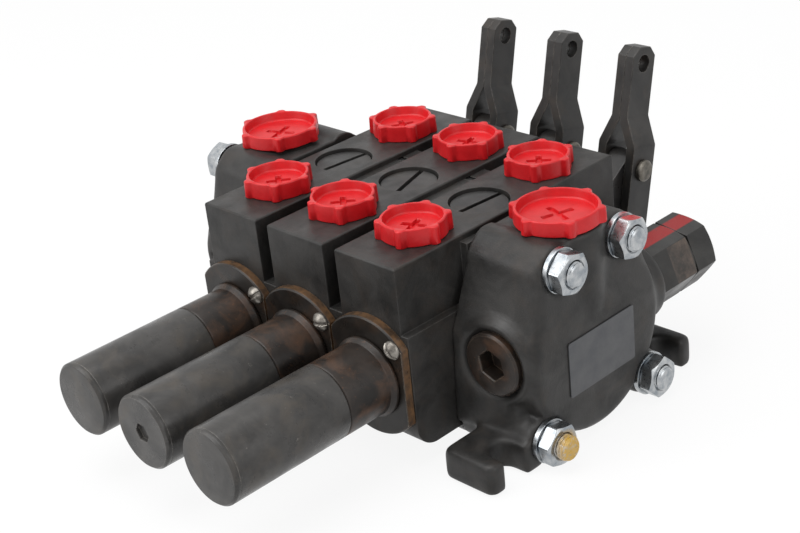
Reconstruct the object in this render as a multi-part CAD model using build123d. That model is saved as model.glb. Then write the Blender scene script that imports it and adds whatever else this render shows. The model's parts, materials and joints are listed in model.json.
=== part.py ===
"""Manual directional control valve: three sections between an inlet and an outlet cover.

Millimetres. X runs along the stack towards the tie nuts, Y along the spools towards the
levers, Z up. The model is drawn about the middle of the stack at the feet, and written
with its origin at the bottom centre of its bounding box.
"""
from build123d import *
import math
import os

# Stack
section_count = 3
section_pitch = 46.0
section_length = 149.0
section_top = 99.0
section_bottom = 9.0
block_width = 37.8
ledge_height = 67.0
bridge_drop = 3.0
bridge_length = 67.0
section_corner = 12.0
cover_thickness = 41.0
running_gap = 0.05
free_gap = 0.3
machined_edge = 0.6
hexagon_face_share = 0.98
hexagon_corner_angle = 30.0
wire_section_share = 0.9

# Spools and their bores
spool_height = 43.0
spool_radius = 10.0
spool_waist = 7.0
spool_overhang = 8.5
spool_stroke = 7.1
gallery_radius = 14.0
gallery_width = 8.0
gallery_spacing = 14.0
gallery_steps = (-4, -3, -1, 0, 1, 3, 4)
centre_land = 8.0
metering_land = (20.0, 32.0)
end_land = 52.0
tongue_width = 12.0
tongue_height = 16.0
tongue_setback = 3.0
tongue_root = 6.0
wiper_radius = 13.0
wiper_depth = 4.0

# Passages that run through all sections, and their seals
passage_radius = 5.0
passage_height = 27.0
passage_places = (-40.0, 0.0, 40.0)
seal_radius = 7.5
seal_width = 2.2
seal_depth = 2.0

# Tie bolts
tie_radius = 5.9
tie_clearance = 0.5
tie_upper_spread = 42.0
tie_upper_drop = 9.2
tie_lower_spread = 72.6
tie_lower_height = 12.0
tie_flats = 18.0
tie_head_height = 7.7
tie_washer = 2.4
tie_washer_radius = 10.5
tie_washer_split = 1.6
tie_nut_height = 7.0
tie_stick_out = 1.9
tie_long_stick_out = 4.8
tie_end_chamfer = 1.2
tie_lower_rise = 1.5
tie_spotface_gap = 0.8
tie_boss_radius = 10.8
tie_nut_turns = (14, 18, 16, 46)

# Ports and their transport caps
port_spacing = 82.0
port_radius = 10.5
port_depth = 17.0
port_passage = 7.5
main_port_radius = 13.2
main_port_offset = 26.0
main_port_rise = 2.0
cap_tip_radius = 19.2
cap_height = 8.6
main_cap_tip_radius = 21.8
main_cap_height = 7.2
cap_wall = 2.4
cap_nibs = 6
cap_nib_width = 4.4
cap_recess = 4.2
cap_nib_reach = 1.7
cap_nib_edge = 0.9
cap_floor = 1.6
cap_plug_depth = 10.0
main_cap_plug_depth = 12.0
cap_cross_length = 14.0
cap_cross_width = 2.4
cap_cross_depth = 1.0
cap_cross_turn = 45.0

# Check valves under the slotted plugs
check_plug_radius = 14.2
check_plug_head = 3.0
check_plug_recess = 1.6
check_thread_radius = 12.0
check_spring_pocket = 7.0
check_poppet_radius = 8.9
check_poppet_height = 11.0
check_cup_floor = 3.5
check_spring_radius = 4.6
check_spring_wire = 1.4
check_seat_height = 62.0
check_seat_radius = 6.0
check_lift = 4.0
check_slot_width = 2.6
check_slot_depth = 2.2
check_slot_turns = (84.0, 108.0, 86.0)
check_nose = 2.5
check_nose_taper = 1.6

# Front end: flange, spring sleeve and detent cap
flange_radius = 29.3
flange_width = 44.8
flange_thickness = 4.5
flange_edge = 0.7
flange_screw_x = 17.0
flange_screw_z = 18.5
screw_radius = 3.0
screw_head_radius = 4.4
screw_head_height = 3.2
screw_rim_height = 1.3
screw_shoulder_radius = 3.3
screw_shoulder_height = 2.7
screw_crown_radius = 1.3
screw_depth = 12.0
screw_slot_width = 1.3
screw_slot_depth = 1.0
housing_radius = 17.8
housing_bore = 14.3
housing_spigot = 16.9
collar_radius = 20.2
collar_width = 4.5
collar_edge = 0.8
sleeve_length = 28.0
cap_length = 64.5
cap_end_wall = 5.0
cap_end_edge = 1.4
cap_socket_flats = 8.0
cap_socket_depth = 2.0
housing_edge = 0.3
thread_spigot = 15.9
thread_length = 7.0

# Centring spring pack and detent on the front of each spool
seat_radius = 13.6
seat_thickness = 3.5
seat_hub = 2.5
seat_lip = 1.5
seat_bore_gap = 0.2
shoulder_radius = 5.0
spring_space = 33.0
spring_mean_radius = 10.2
spring_wire = 2.6
spring_turns = 5
shoulder_head_radius = 8.0
shoulder_head_height = 5.0
detent_rod_radius = 4.8
detent_rod_length = 30.0
detent_groove = 0.8
detent_groove_half = 1.6
detent_groove_floor_half = 0.5
detent_rod_edge = 1.0
cage_width = 14.0
cage_setback = 10.0
ball_radius = 2.4
ball_count = 3
ball_gap = 0.2
cage_wall_gap = 0.1
cage_bore_gap = 0.6
cage_skin = 3.5

# Levers and their brackets
pivot_reach = 33.0
pivot_drop = 34.0
lever_lean = 13.2
lever_width = 17.5
lever_thickness = 5.0
lever_top = 61.5
lever_hole_height = 53.2
lever_hole_radius = 4.3
joggle_start = 11.0
joggle_end = 25.0
lever_top_chamfer = 4.5
bracket_thickness = 5.5
bracket_bore = 12.0
ear_root_rise = 2.0
ear_root_height = 13.0
ear_root_reach = 12.0
ear_radius = 8.8
ear_upper_turn = 117.0
ear_lower_turn = -70.0
pivot_pin_radius = 4.0
link_pin_radius = 3.5
pin_head_radius = 5.6
pin_head_height = 3.0
pin_rim_height = 1.8
pin_crown_radius = 3.9
pin_end = 2.0
pin_end_edge = 0.6
pin_head_gap = 0.1
strap_bend = 3.0
strap_splay_shift = 1.5
strap_gap = 0.02
link_play = 0.5
lever_swing = 12.0

# Covers
cover_top_half = 23.0
cover_shoulder = 12.0
cover_waist_half = 47.5
cover_waist_height = 59.0
cover_base_half = 50.0
cover_base_height = 14.0
cover_core_recess = 7.0
cover_pad_rise = 2.0
cover_pad_bottom = 62.0
cover_edge = 5.0
cover_draft = 5.5
gallery_bulge_radius = 44.6
gallery_bulge_height = 47.0
gallery_bulge_rise = 4.0
gallery_bulge_edge = 4.0
gallery_ramp_bottom = 56.0
gallery_ramp_top = 76.0
boss_edge = 0.8

# Cross bore of the inlet cover, for the front plug and the relief valve
cross_bore_inset = 22.1
cross_bore_height = 48.0
cross_bore_radius = 13.5
plug_boss_radius = 21.0
plug_boss_face = 46.0
plug_boss_edge = 2.5
plug_edge = 0.9
witness_radius = 1.6
witness_depth = 3.0
witness_offset = 15.0
plug_face = 47.4
plug_head_radius = 15.2
plug_spotface_radius = 16.8
plug_spotface_depth = 2.6
plug_shank_length = 12.0
plug_socket_flats = 13.0
plug_socket_depth = 8.0
relief_boss_face = 54.5
relief_boss_radius = 20.5
relief_boss_edge = 2.0
relief_flats = 32.0
relief_body_length = 27.5
relief_cap_length = 15.5
relief_shank_end = 8.0
relief_bore = 8.5
relief_seat_radius = 5.0
relief_lift = 2.0
relief_seat_wall = 4.0
relief_nose = 3.0
relief_land = 6.0
relief_stem_radius = 4.0
relief_stem_length = 8.0
relief_spring_length = 38.0
relief_spring_radius = 6.2
relief_spring_wire = 2.6
relief_spring_turns = 6
relief_screw_nose = 6.0
relief_screw_reach = 8.0
relief_screw_slot = 2.0
relief_cap_wall = 4.0
relief_cap_gap = 1.0
relief_phase = 8.0

# Feet
foot_length = 30.2
foot_outer = 73.3
foot_thickness = 9.7
foot_height = 15.2
foot_overhang = 1.3
foot_slot_width = 13.2
foot_slot_setback = 8.2
foot_corner = 4.0
foot_edge = 2.0
foot_root = 12.0

# Label plate
label_width = 46.0
label_height = 27.5
label_thickness = 0.6
label_offset = 0.9
label_centre_height = 40.7
label_corner = 1.2

half_length = section_length / 2
stack_half = section_pitch * section_count / 2
cover_face = stack_half + cover_thickness
tie_upper_height = section_top - tie_upper_drop
tie_places = [
    (side * spread / 2, height)
    for spread, height in ((tie_upper_spread, tie_upper_height), (tie_lower_spread, tie_lower_height))
    for side in (-1, 1)
]
section_centres = [(i - (section_count - 1) / 2) * section_pitch for i in range(section_count)]
bulge_face = cover_face + gallery_bulge_rise
main_port_x = stack_half + main_port_offset
port_column_radius = bulge_face - main_port_x
main_port_top = section_top + main_port_rise
cross_bore_x = stack_half + cross_bore_inset
check_plug_bottom = check_seat_height + check_poppet_height + check_lift + free_gap
check_spring_top = check_plug_bottom + check_spring_pocket
foot_slot_y = foot_outer - foot_thickness - foot_slot_width / 2
foot_slot_x = cover_face + foot_overhang - foot_slot_setback
sleeve_end = half_length + flange_thickness + sleeve_length
cap_end = sleeve_end + cap_length
spool_front = half_length + spool_overhang
relief_seat = relief_shank_end + relief_seat_wall
relief_spring_start = relief_seat + relief_land
pivot_y = half_length + pivot_reach
pivot_z = spool_height + pivot_drop
link_y = pivot_y - pivot_drop * math.tan(math.radians(lever_lean))
link_length = pivot_drop / math.cos(math.radians(lever_lean))


def rod(axis, radius, start, end, a=0.0, b=0.0):
    """A round bar along one axis; a and b place it on the other two, in X, Y, Z order."""
    middle = (start + end) / 2
    bar = Cylinder(radius, end - start)
    if axis == "x":
        return Pos(middle, a, b) * Rot(0, 90, 0) * bar
    if axis == "y":
        return Pos(a, middle, b) * Rot(90, 0, 0) * bar
    return Pos(a, b, middle) * bar


def turned(profile, axis="z", a=0.0, b=0.0):
    """A turned piece from its half section, a list of (radius, distance along the axis)."""
    points = [(radius, 0, along) for radius, along in profile]
    section = make_face(Polyline(*points, close=True))
    body = revolve(section, Axis.Z)
    if axis == "x":
        return Pos(0, a, b) * Rot(0, 90, 0) * body
    if axis == "y":
        return Pos(a, 0, b) * Rot(-90, 0, 0) * body
    return Pos(a, b, 0) * body


def tube(axis, outer, inner, start, end, a=0.0, b=0.0):
    """A straight round tube."""
    return rod(axis, outer, start, end, a, b) - rod(axis, inner, start, end, a, b)


def hexagon(axis, flats, start, end, a=0.0, b=0.0, turn=0.0):
    """A hexagonal bar, given by its width across flats."""
    face = RegularPolygon(flats / 2, 6, major_radius=False, rotation=turn)
    bar = Pos(0, 0, start) * extrude(face, end - start)
    if axis == "x":
        return Pos(0, a, b) * Rot(0, 90, 0) * bar
    if axis == "y":
        return Pos(a, 0, b) * Rot(-90, 0, 0) * bar
    return Pos(a, b, 0) * bar


def chamfered_hexagon(axis, flats, start, end, a=0.0, b=0.0, turn=0.0, both=True):
    """A hexagonal bar whose corners are turned off at 30 degrees at its outer end, or at both."""
    corner = flats / math.sqrt(3)
    flat = flats / 2 * hexagon_face_share
    drop = (corner - flat) * math.tan(math.radians(hexagon_corner_angle))
    bottom = flat if both else corner
    profile = [(0, start), (bottom, start), (corner, start + (drop if both else 0))]
    profile += [(corner, end - drop), (flat, end), (0, end)]
    if not both:
        profile.pop(2)
    return hexagon(axis, flats, start, end, a, b, turn) & turned(profile, axis, a, b)


def along_x(outline, start, end):
    """A prism along X from its outline in Y and Z."""
    return extrude(Plane.YZ.offset(start) * outline, end - start)


def coil(mean_radius, wire, length, turns, axis, a, b, start):
    """A helical spring of square wire that stands on start."""
    height = length - wire
    path = Helix(height / turns, height, mean_radius)
    side = wire * wire_section_share
    section = Plane(origin=(mean_radius, 0, 0), z_dir=path % 0) * Rectangle(side, side)
    spring = Pos(0, 0, wire / 2) * sweep(section, path, is_frenet=True)
    if axis == "y":
        return Pos(a, start, b) * Rot(-90, 0, 0) * spring
    return Pos(a, b, start) * spring


def section_body(x):
    """One working section: a full width lower body under a narrower port block."""
    lower = Pos(0, 0, (section_bottom + ledge_height) / 2) * Box(
        section_pitch, section_length, ledge_height - section_bottom
    )
    lower = fillet(lower.edges().filter_by(Axis.X).sort_by(Axis.Z)[:2], section_corner)
    upper = Pos(0, 0, (ledge_height + section_top) / 2) * Box(
        block_width, section_length, section_top - ledge_height
    )
    upper = chamfer(upper.faces().sort_by(Axis.Z)[-1].edges(), machined_edge)
    bridge_top = section_top - bridge_drop
    bridge = Pos(0, 0, (ledge_height + bridge_top) / 2) * Box(
        section_pitch, bridge_length, bridge_top - ledge_height
    )
    body = lower + upper + bridge
    for y, z in tie_places[2:]:
        body += rod("x", tie_boss_radius, -section_pitch / 2, section_pitch / 2, y, z)
    for y, z in tie_places:
        body -= rod("x", tie_radius + tie_clearance, -section_pitch, section_pitch, y, z)
    body -= rod("y", spool_radius + running_gap, -section_length, section_length, 0, spool_height)
    for side in (-1, 1):
        face = side * half_length
        wiper_end = face - side * wiper_depth
        body -= rod("y", wiper_radius, min(face, wiper_end), max(face, wiper_end), 0, spool_height)
        body -= rod("z", port_radius, section_top - port_depth, section_top, 0, side * port_spacing / 2)
        body -= rod("z", port_passage, spool_height, section_top, 0, side * port_spacing / 2)
        for turn in (-1, 1):
            end = face - side * screw_depth
            body -= rod(
                "y", screw_radius, min(face, end), max(face, end),
                turn * flange_screw_x, spool_height + turn * flange_screw_z,
            )
    for step in gallery_steps:
        y = step * gallery_spacing
        body -= rod("y", gallery_radius, y - gallery_width / 2, y + gallery_width / 2, 0, spool_height)
    face = section_pitch / 2
    for y in passage_places:
        body -= rod("x", passage_radius, -face, face, y, passage_height)
        body -= rod("x", seal_radius, face - seal_depth, face, y, passage_height)
    head_floor = section_top - check_plug_recess - check_plug_head
    body -= rod("z", check_plug_radius + free_gap, head_floor, section_top)
    body -= rod("z", check_thread_radius + running_gap, check_plug_bottom - free_gap, section_top)
    body -= rod("z", check_poppet_radius + running_gap, check_seat_height, section_top)
    body -= rod("z", check_seat_radius, spool_height, section_top)
    return Pos(x, 0, 0) * body


def check_plug(x, slot_turn):
    """The slotted plug that closes a check valve bore, hollow below for the spring."""
    top = section_top - check_plug_recess
    bottom = check_plug_bottom
    pocket = check_spring_radius + check_spring_wire
    profile = [
        (0, top), (check_plug_radius - machined_edge, top), (check_plug_radius, top - machined_edge),
        (check_plug_radius, top - check_plug_head), (check_thread_radius, top - check_plug_head),
        (check_thread_radius, bottom), (pocket, bottom), (pocket, check_spring_top), (0, check_spring_top),
    ]
    slot = Rot(0, 0, slot_turn) * Box(2 * check_plug_radius, check_slot_width, 2 * check_slot_depth)
    slot = Pos(0, 0, top) * slot
    return Pos(x, 0, 0) * (turned(profile) - slot)


def check_poppet(x):
    """The check poppet: a cup with a conical nose that rests on its seat."""
    seat = check_seat_height
    top = seat + check_poppet_height
    cup = check_spring_radius + check_spring_wire
    tip = seat - check_nose
    profile = [
        (0, tip), (check_seat_radius - check_nose_taper, tip), (check_seat_radius - free_gap, seat),
        (check_poppet_radius, seat), (check_poppet_radius, top), (cup, top),
        (cup, seat + check_cup_floor), (0, seat + check_cup_floor),
    ]
    return turned(profile, "z", x, 0)


def check_spring(x):
    """The light spring between a check poppet's cup and its plug."""
    start = check_seat_height + check_cup_floor
    return coil(check_spring_radius, check_spring_wire, check_spring_top - start, 4, "z", x, 0, start)


def port_cap(x, y, base, tip_radius, height, thread_radius, depth):
    """A moulded transport cap: a nibbed rim around a recess with a cross slot, on a hollow plug."""
    rim = tip_radius - cap_nib_reach
    bore = thread_radius - cap_wall
    shank = thread_radius - running_gap
    half_wall = cap_wall / 2
    rim_top = base + height
    recess_floor = rim_top - cap_recess
    profile = [
        (0, recess_floor), (rim - cap_wall - half_wall, recess_floor), (rim - cap_wall, rim_top),
        (rim, rim_top), (rim, base), (shank, base), (shank, base - depth), (bore, base - depth),
        (bore, base + cap_floor), (0, base + cap_floor),
    ]
    cap = turned(profile)
    for i in range(cap_nibs):
        nib = Pos(tip_radius - cap_wall / 2, 0, base + height / 2) * Box(cap_wall, cap_nib_width, height)
        nib = chamfer(nib.edges().filter_by(Axis.Z).sort_by(Axis.X)[-2:], cap_nib_edge)
        cap += Rot(0, 0, (i + 0.5) * 360 / cap_nibs) * nib
    for turn in (cap_cross_turn, cap_cross_turn + 90):
        arm = Rot(0, 0, turn) * Box(cap_cross_length, cap_cross_width, 2 * cap_cross_depth)
        cap -= Pos(0, 0, recess_floor) * arm
    return Pos(x, y, 0) * cap


def spool(x):
    """A spool: lands and waists through the section, a slotted flat tongue at the lever end."""
    near, far = metering_land
    rear_end = half_length + bracket_thickness + tongue_setback
    lands = [(-spool_front, -end_land), (-far, -near), (-centre_land, centre_land)]
    lands += [(near, far), (end_land, rear_end)]
    profile = [(0, lands[0][0])]
    for start, end in lands:
        profile += [(spool_waist, start)] if start > lands[0][0] else []
        profile += [(spool_radius, start), (spool_radius, end)]
        profile += [(spool_waist, end)] if end < rear_end else []
    profile += [(0, rear_end)]
    body = turned(profile, "y", 0, spool_height)
    root = rear_end - tongue_root
    tongue = Pos(0, (root + link_y) / 2, spool_height) * Box(tongue_width, link_y - root, tongue_height)
    tongue += rod("x", tongue_height / 2, -tongue_width / 2, tongue_width / 2, link_y, spool_height)
    tongue &= rod("y", spool_radius, root, link_y + tongue_height, 0, spool_height)
    body += tongue
    rise = link_length - link_length * math.cos(math.radians(lever_lean + lever_swing))
    rise -= link_length - pivot_drop
    dip = link_length - pivot_drop
    slot_height = rise + dip + 2 * link_pin_radius + 2 * free_gap
    slot_width = 2 * (link_pin_radius + link_play)
    slot = Pos(0, link_y, spool_height + (rise - dip) / 2) * Box(2 * tongue_width, slot_width, slot_height)
    return Pos(x, 0, 0) * (body - slot)


def shoulder_screw(x):
    """The screw that carries the spring pack; its long nose is the grooved detent rod."""
    seat_b = -spool_front - 2 * seat_thickness - spring_space
    nose = seat_b - shoulder_head_height
    end = nose - detent_rod_length
    middle = nose - cage_setback - cage_width / 2
    profile = [(0, -spool_front), (shoulder_radius, -spool_front), (shoulder_radius, seat_b)]
    profile += [(shoulder_head_radius, seat_b), (shoulder_head_radius, nose), (detent_rod_radius, nose)]
    for step in (1, 0, -1):
        y = middle + step * spool_stroke
        depth = detent_rod_radius - detent_groove
        mouth, floor = detent_groove_half, detent_groove_floor_half
        profile += [(detent_rod_radius, y + mouth), (depth, y + floor)]
        profile += [(depth, y - floor), (detent_rod_radius, y - mouth)]
    profile += [(detent_rod_radius, end + detent_rod_edge)]
    profile += [(detent_rod_radius - detent_rod_edge, end), (0, end)]
    return turned(profile, "y", x, spool_height)


def spring_seats(x):
    """The two stepped rings that hold the centring spring."""
    seats = []
    for start, side in ((-spool_front, -1), (-spool_front - 2 * seat_thickness - spring_space, 1)):
        inner = shoulder_radius + seat_bore_gap
        shelf = start + side * seat_thickness
        lip = shelf + side * seat_lip
        profile = [
            (inner, start), (seat_radius, start), (seat_radius, shelf), (inner + seat_hub, shelf),
            (inner + seat_hub, lip), (inner, lip),
        ]
        seats.append(turned(profile, "y", x, spool_height))
    return seats


def centring_spring(x):
    """The coil between the two seats."""
    start = -spool_front - seat_thickness - spring_space
    return coil(spring_mean_radius, spring_wire, spring_space, spring_turns, "y", x, spool_height, start)


def spring_sleeve(x):
    """The housing of the spring pack, with the collar that shows in front of the flange."""
    collar_back = -half_length - flange_thickness
    collar_front = collar_back - collar_width
    profile = [
        (housing_bore, -half_length), (housing_spigot, -half_length), (housing_spigot, collar_back),
        (collar_radius - collar_edge, collar_back), (collar_radius, collar_back - collar_edge),
        (collar_radius, collar_front + collar_edge), (collar_radius - collar_edge, collar_front),
        (housing_radius, collar_front), (housing_radius, -sleeve_end + housing_edge),
        (housing_radius - housing_edge, -sleeve_end), (thread_spigot + running_gap, -sleeve_end),
        (thread_spigot + running_gap, -sleeve_end + thread_length),
        (housing_bore, -sleeve_end + thread_length),
    ]
    return turned(profile, "y", x, spool_height)


def detent_cap(x, drilled):
    """The long turned cap over the detent; the middle one has a closed hole in its end."""
    floor = -cap_end + cap_end_wall
    spigot_end = -sleeve_end + thread_length - free_gap
    profile = [
        (0, -cap_end), (housing_radius - cap_end_edge, -cap_end), (housing_radius, -cap_end + cap_end_edge),
        (housing_radius, -sleeve_end - housing_edge), (housing_radius - housing_edge, -sleeve_end),
        (thread_spigot, -sleeve_end), (thread_spigot, spigot_end), (housing_bore, spigot_end),
        (housing_bore, floor), (0, floor),
    ]
    body = turned(profile, "y", x, spool_height)
    if drilled:
        socket_floor = -cap_end + cap_socket_depth
        body -= hexagon("y", cap_socket_flats, -cap_end, socket_floor, x, spool_height)
    return body


def detent_cage(x):
    """The ring inside the cap that guides the detent balls."""
    nose = -spool_front - 2 * seat_thickness - spring_space - shoulder_head_height
    start = nose - cage_setback - cage_width
    outer = housing_bore - cage_wall_gap
    inner = detent_rod_radius + cage_bore_gap
    cage = tube("y", outer, inner, start, start + cage_width, 0, spool_height)
    middle = start + cage_width / 2
    balls = []
    for i in range(ball_count):
        turn = Pos(0, middle, spool_height) * Rot(0, i * 360 / ball_count, 0)
        cage -= turn * rod("z", ball_radius + ball_gap, 0, housing_bore - cage_skin)
        ball = Pos(0, 0, detent_rod_radius + ball_gap + ball_radius) * Sphere(ball_radius)
        balls.append(Pos(x, 0, 0) * turn * ball)
    return Pos(x, 0, 0) * cage, balls


def flange_outline():
    """The flange's outline: a disc with flats where it meets its neighbours."""
    return Circle(flange_radius) & Rectangle(flange_width, 2 * flange_radius)


def flange_blank(x, start, end, bore):
    """A flange plate on a section's end, bored for what passes through it and for two screws."""
    face = Plane(origin=(0, start, spool_height), x_dir=(1, 0, 0), z_dir=(0, 1, 0))
    plate = extrude(face * flange_outline(), end - start)
    plate -= rod("y", bore, start, end, 0, spool_height)
    for turn in (-1, 1):
        height = spool_height + turn * flange_screw_z
        plate -= rod("y", screw_radius + free_gap, start, end, turn * flange_screw_x, height)
    return Pos(x, 0, 0) * plate


def front_flange(x):
    """The plate that holds the spring sleeve."""
    plate = flange_blank(x, -half_length - flange_thickness, -half_length, housing_spigot + 2 * running_gap)
    rim = plate.edges().filter_by(GeomType.CIRCLE).group_by(Axis.Y)[0]
    return chamfer([edge for edge in rim if abs(edge.radius - flange_radius) < running_gap], flange_edge)


def dome_screw(x, y, z, side):
    """A round headed screw; side is the direction in which its head looks along Y."""
    shank = screw_radius - running_gap
    profile = [
        (0, -screw_depth + 1), (shank, -screw_depth + 1), (shank, 0), (screw_head_radius, 0),
        (screw_head_radius, screw_rim_height), (screw_shoulder_radius, screw_shoulder_height),
        (screw_crown_radius, screw_head_height), (0, screw_head_height),
    ]
    slot = Box(screw_slot_width, 2 * screw_head_radius, 2 * screw_slot_depth)
    screw = turned(profile) - Pos(0, 0, screw_head_height) * slot
    return Pos(x, y, z) * Rot(-90 * side, 0, 0) * screw


def end_screws(side, thickness):
    """The two screws of each flange on one end of all the sections."""
    depth = side * (half_length + thickness)
    return [
        dome_screw(x + turn * flange_screw_x, depth, spool_height + turn * flange_screw_z, side)
        for x in section_centres
        for turn in (-1, 1)
    ]


def lever_bracket(x):
    """The rear flange with the single ear that carries the lever's pivot."""
    start = half_length
    plate = flange_blank(0, start, start + bracket_thickness, bracket_bore)
    root = start + bracket_thickness
    low = spool_height + bracket_bore + ear_root_rise
    upper_turn, lower_turn = math.radians(ear_upper_turn), math.radians(ear_lower_turn)
    outline = Polyline(
        (root, low), (root, low + ear_root_height),
        (pivot_y + ear_radius * math.cos(upper_turn), pivot_z + ear_radius * math.sin(upper_turn)),
        (pivot_y + ear_radius * math.cos(lower_turn), pivot_z + ear_radius * math.sin(lower_turn)),
        (root + ear_root_reach, low), close=True,
    )
    ear = along_x(make_face(outline), -tongue_width / 2, tongue_width / 2)
    ear += rod("x", ear_radius, -tongue_width / 2, tongue_width / 2, pivot_y, pivot_z)
    ear -= rod("x", pivot_pin_radius + running_gap, -tongue_width, tongue_width, pivot_y, pivot_z)
    return Pos(x, 0, 0) * (plate + ear)


def lever_plate(side):
    """One pressed strap of a lever, upright about its pivot: back to back above, splayed below."""
    fork = tongue_width / 2 + free_gap
    outer = lever_thickness
    bottom = -link_length - lever_width / 2
    outline = Polyline(
        (fork, bottom), (fork, joggle_start), (strap_gap, joggle_end), (strap_gap, lever_top),
        (outer, lever_top), (outer, joggle_end + strap_splay_shift),
        (fork + outer, joggle_start + strap_splay_shift), (fork + outer, bottom), close=True,
    )
    face = Plane(origin=(0, -lever_width / 2, 0), x_dir=(1, 0, 0), z_dir=(0, -1, 0))
    strap = extrude(face * make_face(outline), -lever_width)
    across = strap.edges().filter_by(Axis.Y).sort_by(Axis.Z)
    strap = fillet(across[2:-2], strap_bend)
    side_view = Rectangle(lever_width, lever_top + link_length, align=(Align.CENTER, Align.MIN))
    side_view = Pos(0, -link_length) * side_view
    side_view = chamfer(side_view.vertices().sort_by(Axis.Y)[-2:], lever_top_chamfer)
    side_view += Pos(0, -link_length) * Circle(lever_width / 2)
    strap &= along_x(side_view, 0, fork + outer)
    strap -= rod("x", pivot_pin_radius + running_gap, 0, 2 * fork + outer, 0, 0)
    strap -= rod("x", link_pin_radius + running_gap, 0, 2 * fork + outer, 0, -link_length)
    strap -= rod("x", lever_hole_radius, 0, 2 * fork + outer, 0, lever_hole_height)
    return strap if side > 0 else mirror(strap, Plane.YZ)


def lever_place(x):
    """Where an upright lever stands on its pivot, leaning back."""
    return Pos(x, pivot_y, pivot_z) * Rot(-lever_lean, 0, 0)


def lever_plates(x):
    """The two straps of one lever."""
    return [lever_place(x) * lever_plate(side) for side in (-1, 1)]


def headed_pin(radius, height):
    """A pin across the fork with a round head on one side and a flattened end on the other."""
    reach = tongue_width / 2 + free_gap + lever_thickness
    tip = -reach - pin_end
    profile = [
        (0, tip), (radius - pin_end_edge, tip), (radius, tip + pin_end_edge),
        (radius, reach + pin_head_gap), (pin_head_radius, reach + pin_head_gap),
        (pin_head_radius, reach + pin_rim_height), (pin_crown_radius, reach + pin_head_height),
        (0, reach + pin_head_height),
    ]
    return turned(profile, "x", 0, height)


def lever_pins(x):
    """The pivot pin and the pin that drives the spool's tongue."""
    return [
        lever_place(x) * headed_pin(pivot_pin_radius, 0),
        lever_place(x) * headed_pin(link_pin_radius, -link_length),
    ]


def tie_face(height):
    """How far out the covers carry the nuts and bolt heads of the ties at one height."""
    return cover_face + (tie_lower_rise if height == tie_lower_height else 0)


def cover_outline(draft):
    """A cover seen along the stack: a flat top on rounded shoulders, and flanks drawn in by draft."""
    top = section_top
    shoulder_y = cover_top_half + cover_shoulder
    half = cover_shoulder * math.sqrt(0.5)
    corner = (cover_top_half + half, top - cover_shoulder + half)
    waist = (cover_waist_half - draft, cover_waist_height)
    base = (cover_base_half - draft, cover_base_height)
    toe = (base[0] - cover_base_height + section_bottom, section_bottom)
    right = [
        ThreePointArc((cover_top_half, top), corner, (shoulder_y, top - cover_shoulder)),
        Line((shoulder_y, top - cover_shoulder), waist),
        Line(waist, base),
        Line(base, toe),
    ]
    left = [mirror(edge, Plane.YZ) for edge in right]
    top_line = Line((-cover_top_half, top), (cover_top_half, top))
    base_line = Line((-toe[0], toe[1]), toe)
    return make_face([top_line, base_line] + right + left)


def foot(side):
    """A foot of a cover: an upright bar on a neck, with an open slot for the mounting bolt."""
    outer_x = cover_face + foot_overhang
    inner_x = outer_x - foot_length
    root_y = cover_base_half - foot_root
    span = foot_outer - root_y
    base = Pos((inner_x + outer_x) / 2, side * (root_y + span / 2), foot_height / 2) * Box(
        foot_length, span, foot_height
    )
    base = fillet(base.edges().filter_by(Axis.Z), foot_corner)
    top = base.faces().sort_by(Axis.Z)[-1].edges()
    base = fillet(top, foot_edge)
    base -= rod("z", foot_slot_width / 2, 0, foot_height, foot_slot_x, side * foot_slot_y)
    base -= Pos(foot_slot_x + foot_length / 2, side * foot_slot_y, foot_height / 2) * Box(
        foot_length, foot_slot_width, foot_height
    )
    return base


def cover_blank():
    """What both covers share, drawn on the +X end of the stack."""
    pad_face = cover_face + cover_pad_rise
    inner = Plane.YZ.offset(stack_half) * cover_outline(0)
    outer = Plane.YZ.offset(pad_face) * cover_outline(cover_draft)
    form = loft([inner, outer], ruled=True)
    core_face = cover_face - cover_core_recess
    form -= Pos(core_face, 0, 0) * Box(
        cover_thickness, 2 * cover_base_half, cover_pad_bottom, align=(Align.MIN, Align.CENTER, Align.MIN)
    )
    fronts = form.faces().filter_by(Plane.YZ).sort_by(Axis.X)
    form = fillet(fronts[-1].edges(), cover_edge)
    fronts = form.faces().filter_by(Plane.YZ).sort_by(Axis.X)
    form = fillet(fronts[-2].edges().sort_by(Axis.Z)[:-1], cover_edge)
    bulge = rod("x", gallery_bulge_radius, stack_half, bulge_face, 0, gallery_bulge_height)
    bulge = fillet(bulge.edges().sort_by(Axis.X)[-1], gallery_bulge_edge)
    ramp = Polyline(
        (bulge_face, gallery_ramp_bottom), (pad_face, gallery_ramp_top), (pad_face, section_top),
        (bulge_face + cover_edge, section_top), (bulge_face + cover_edge, gallery_ramp_bottom), close=True,
    )
    bulge -= extrude(Plane.XZ * make_face(ramp), gallery_bulge_radius, both=True)
    body = form + bulge
    for y, z in tie_places:
        boss = rod("x", tie_boss_radius + 4 * running_gap, stack_half, tie_face(z), y, z)
        body += chamfer(boss.edges().sort_by(Axis.X)[-1], boss_edge)
    for side in (-1, 1):
        body += foot(side)
    column = rod("z", port_column_radius, gallery_ramp_bottom, main_port_top, main_port_x, 0)
    body += chamfer(column.edges().sort_by(Axis.Z)[-1], boss_edge)
    for y, z in tie_places:
        seat = tie_face(z)
        body -= rod("x", tie_radius + tie_clearance, stack_half, seat, y, z)
        body -= rod("x", tie_washer_radius + tie_spotface_gap, seat, seat + cover_edge, y, z)
    body -= rod("z", main_port_radius, main_port_top - port_depth, main_port_top, main_port_x, 0)
    boss = rod("y", plug_boss_radius, -plug_boss_face, 0, cross_bore_x, cross_bore_height)
    return body + fillet(boss.edges().sort_by(Axis.Y)[0], plug_boss_edge)


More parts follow.
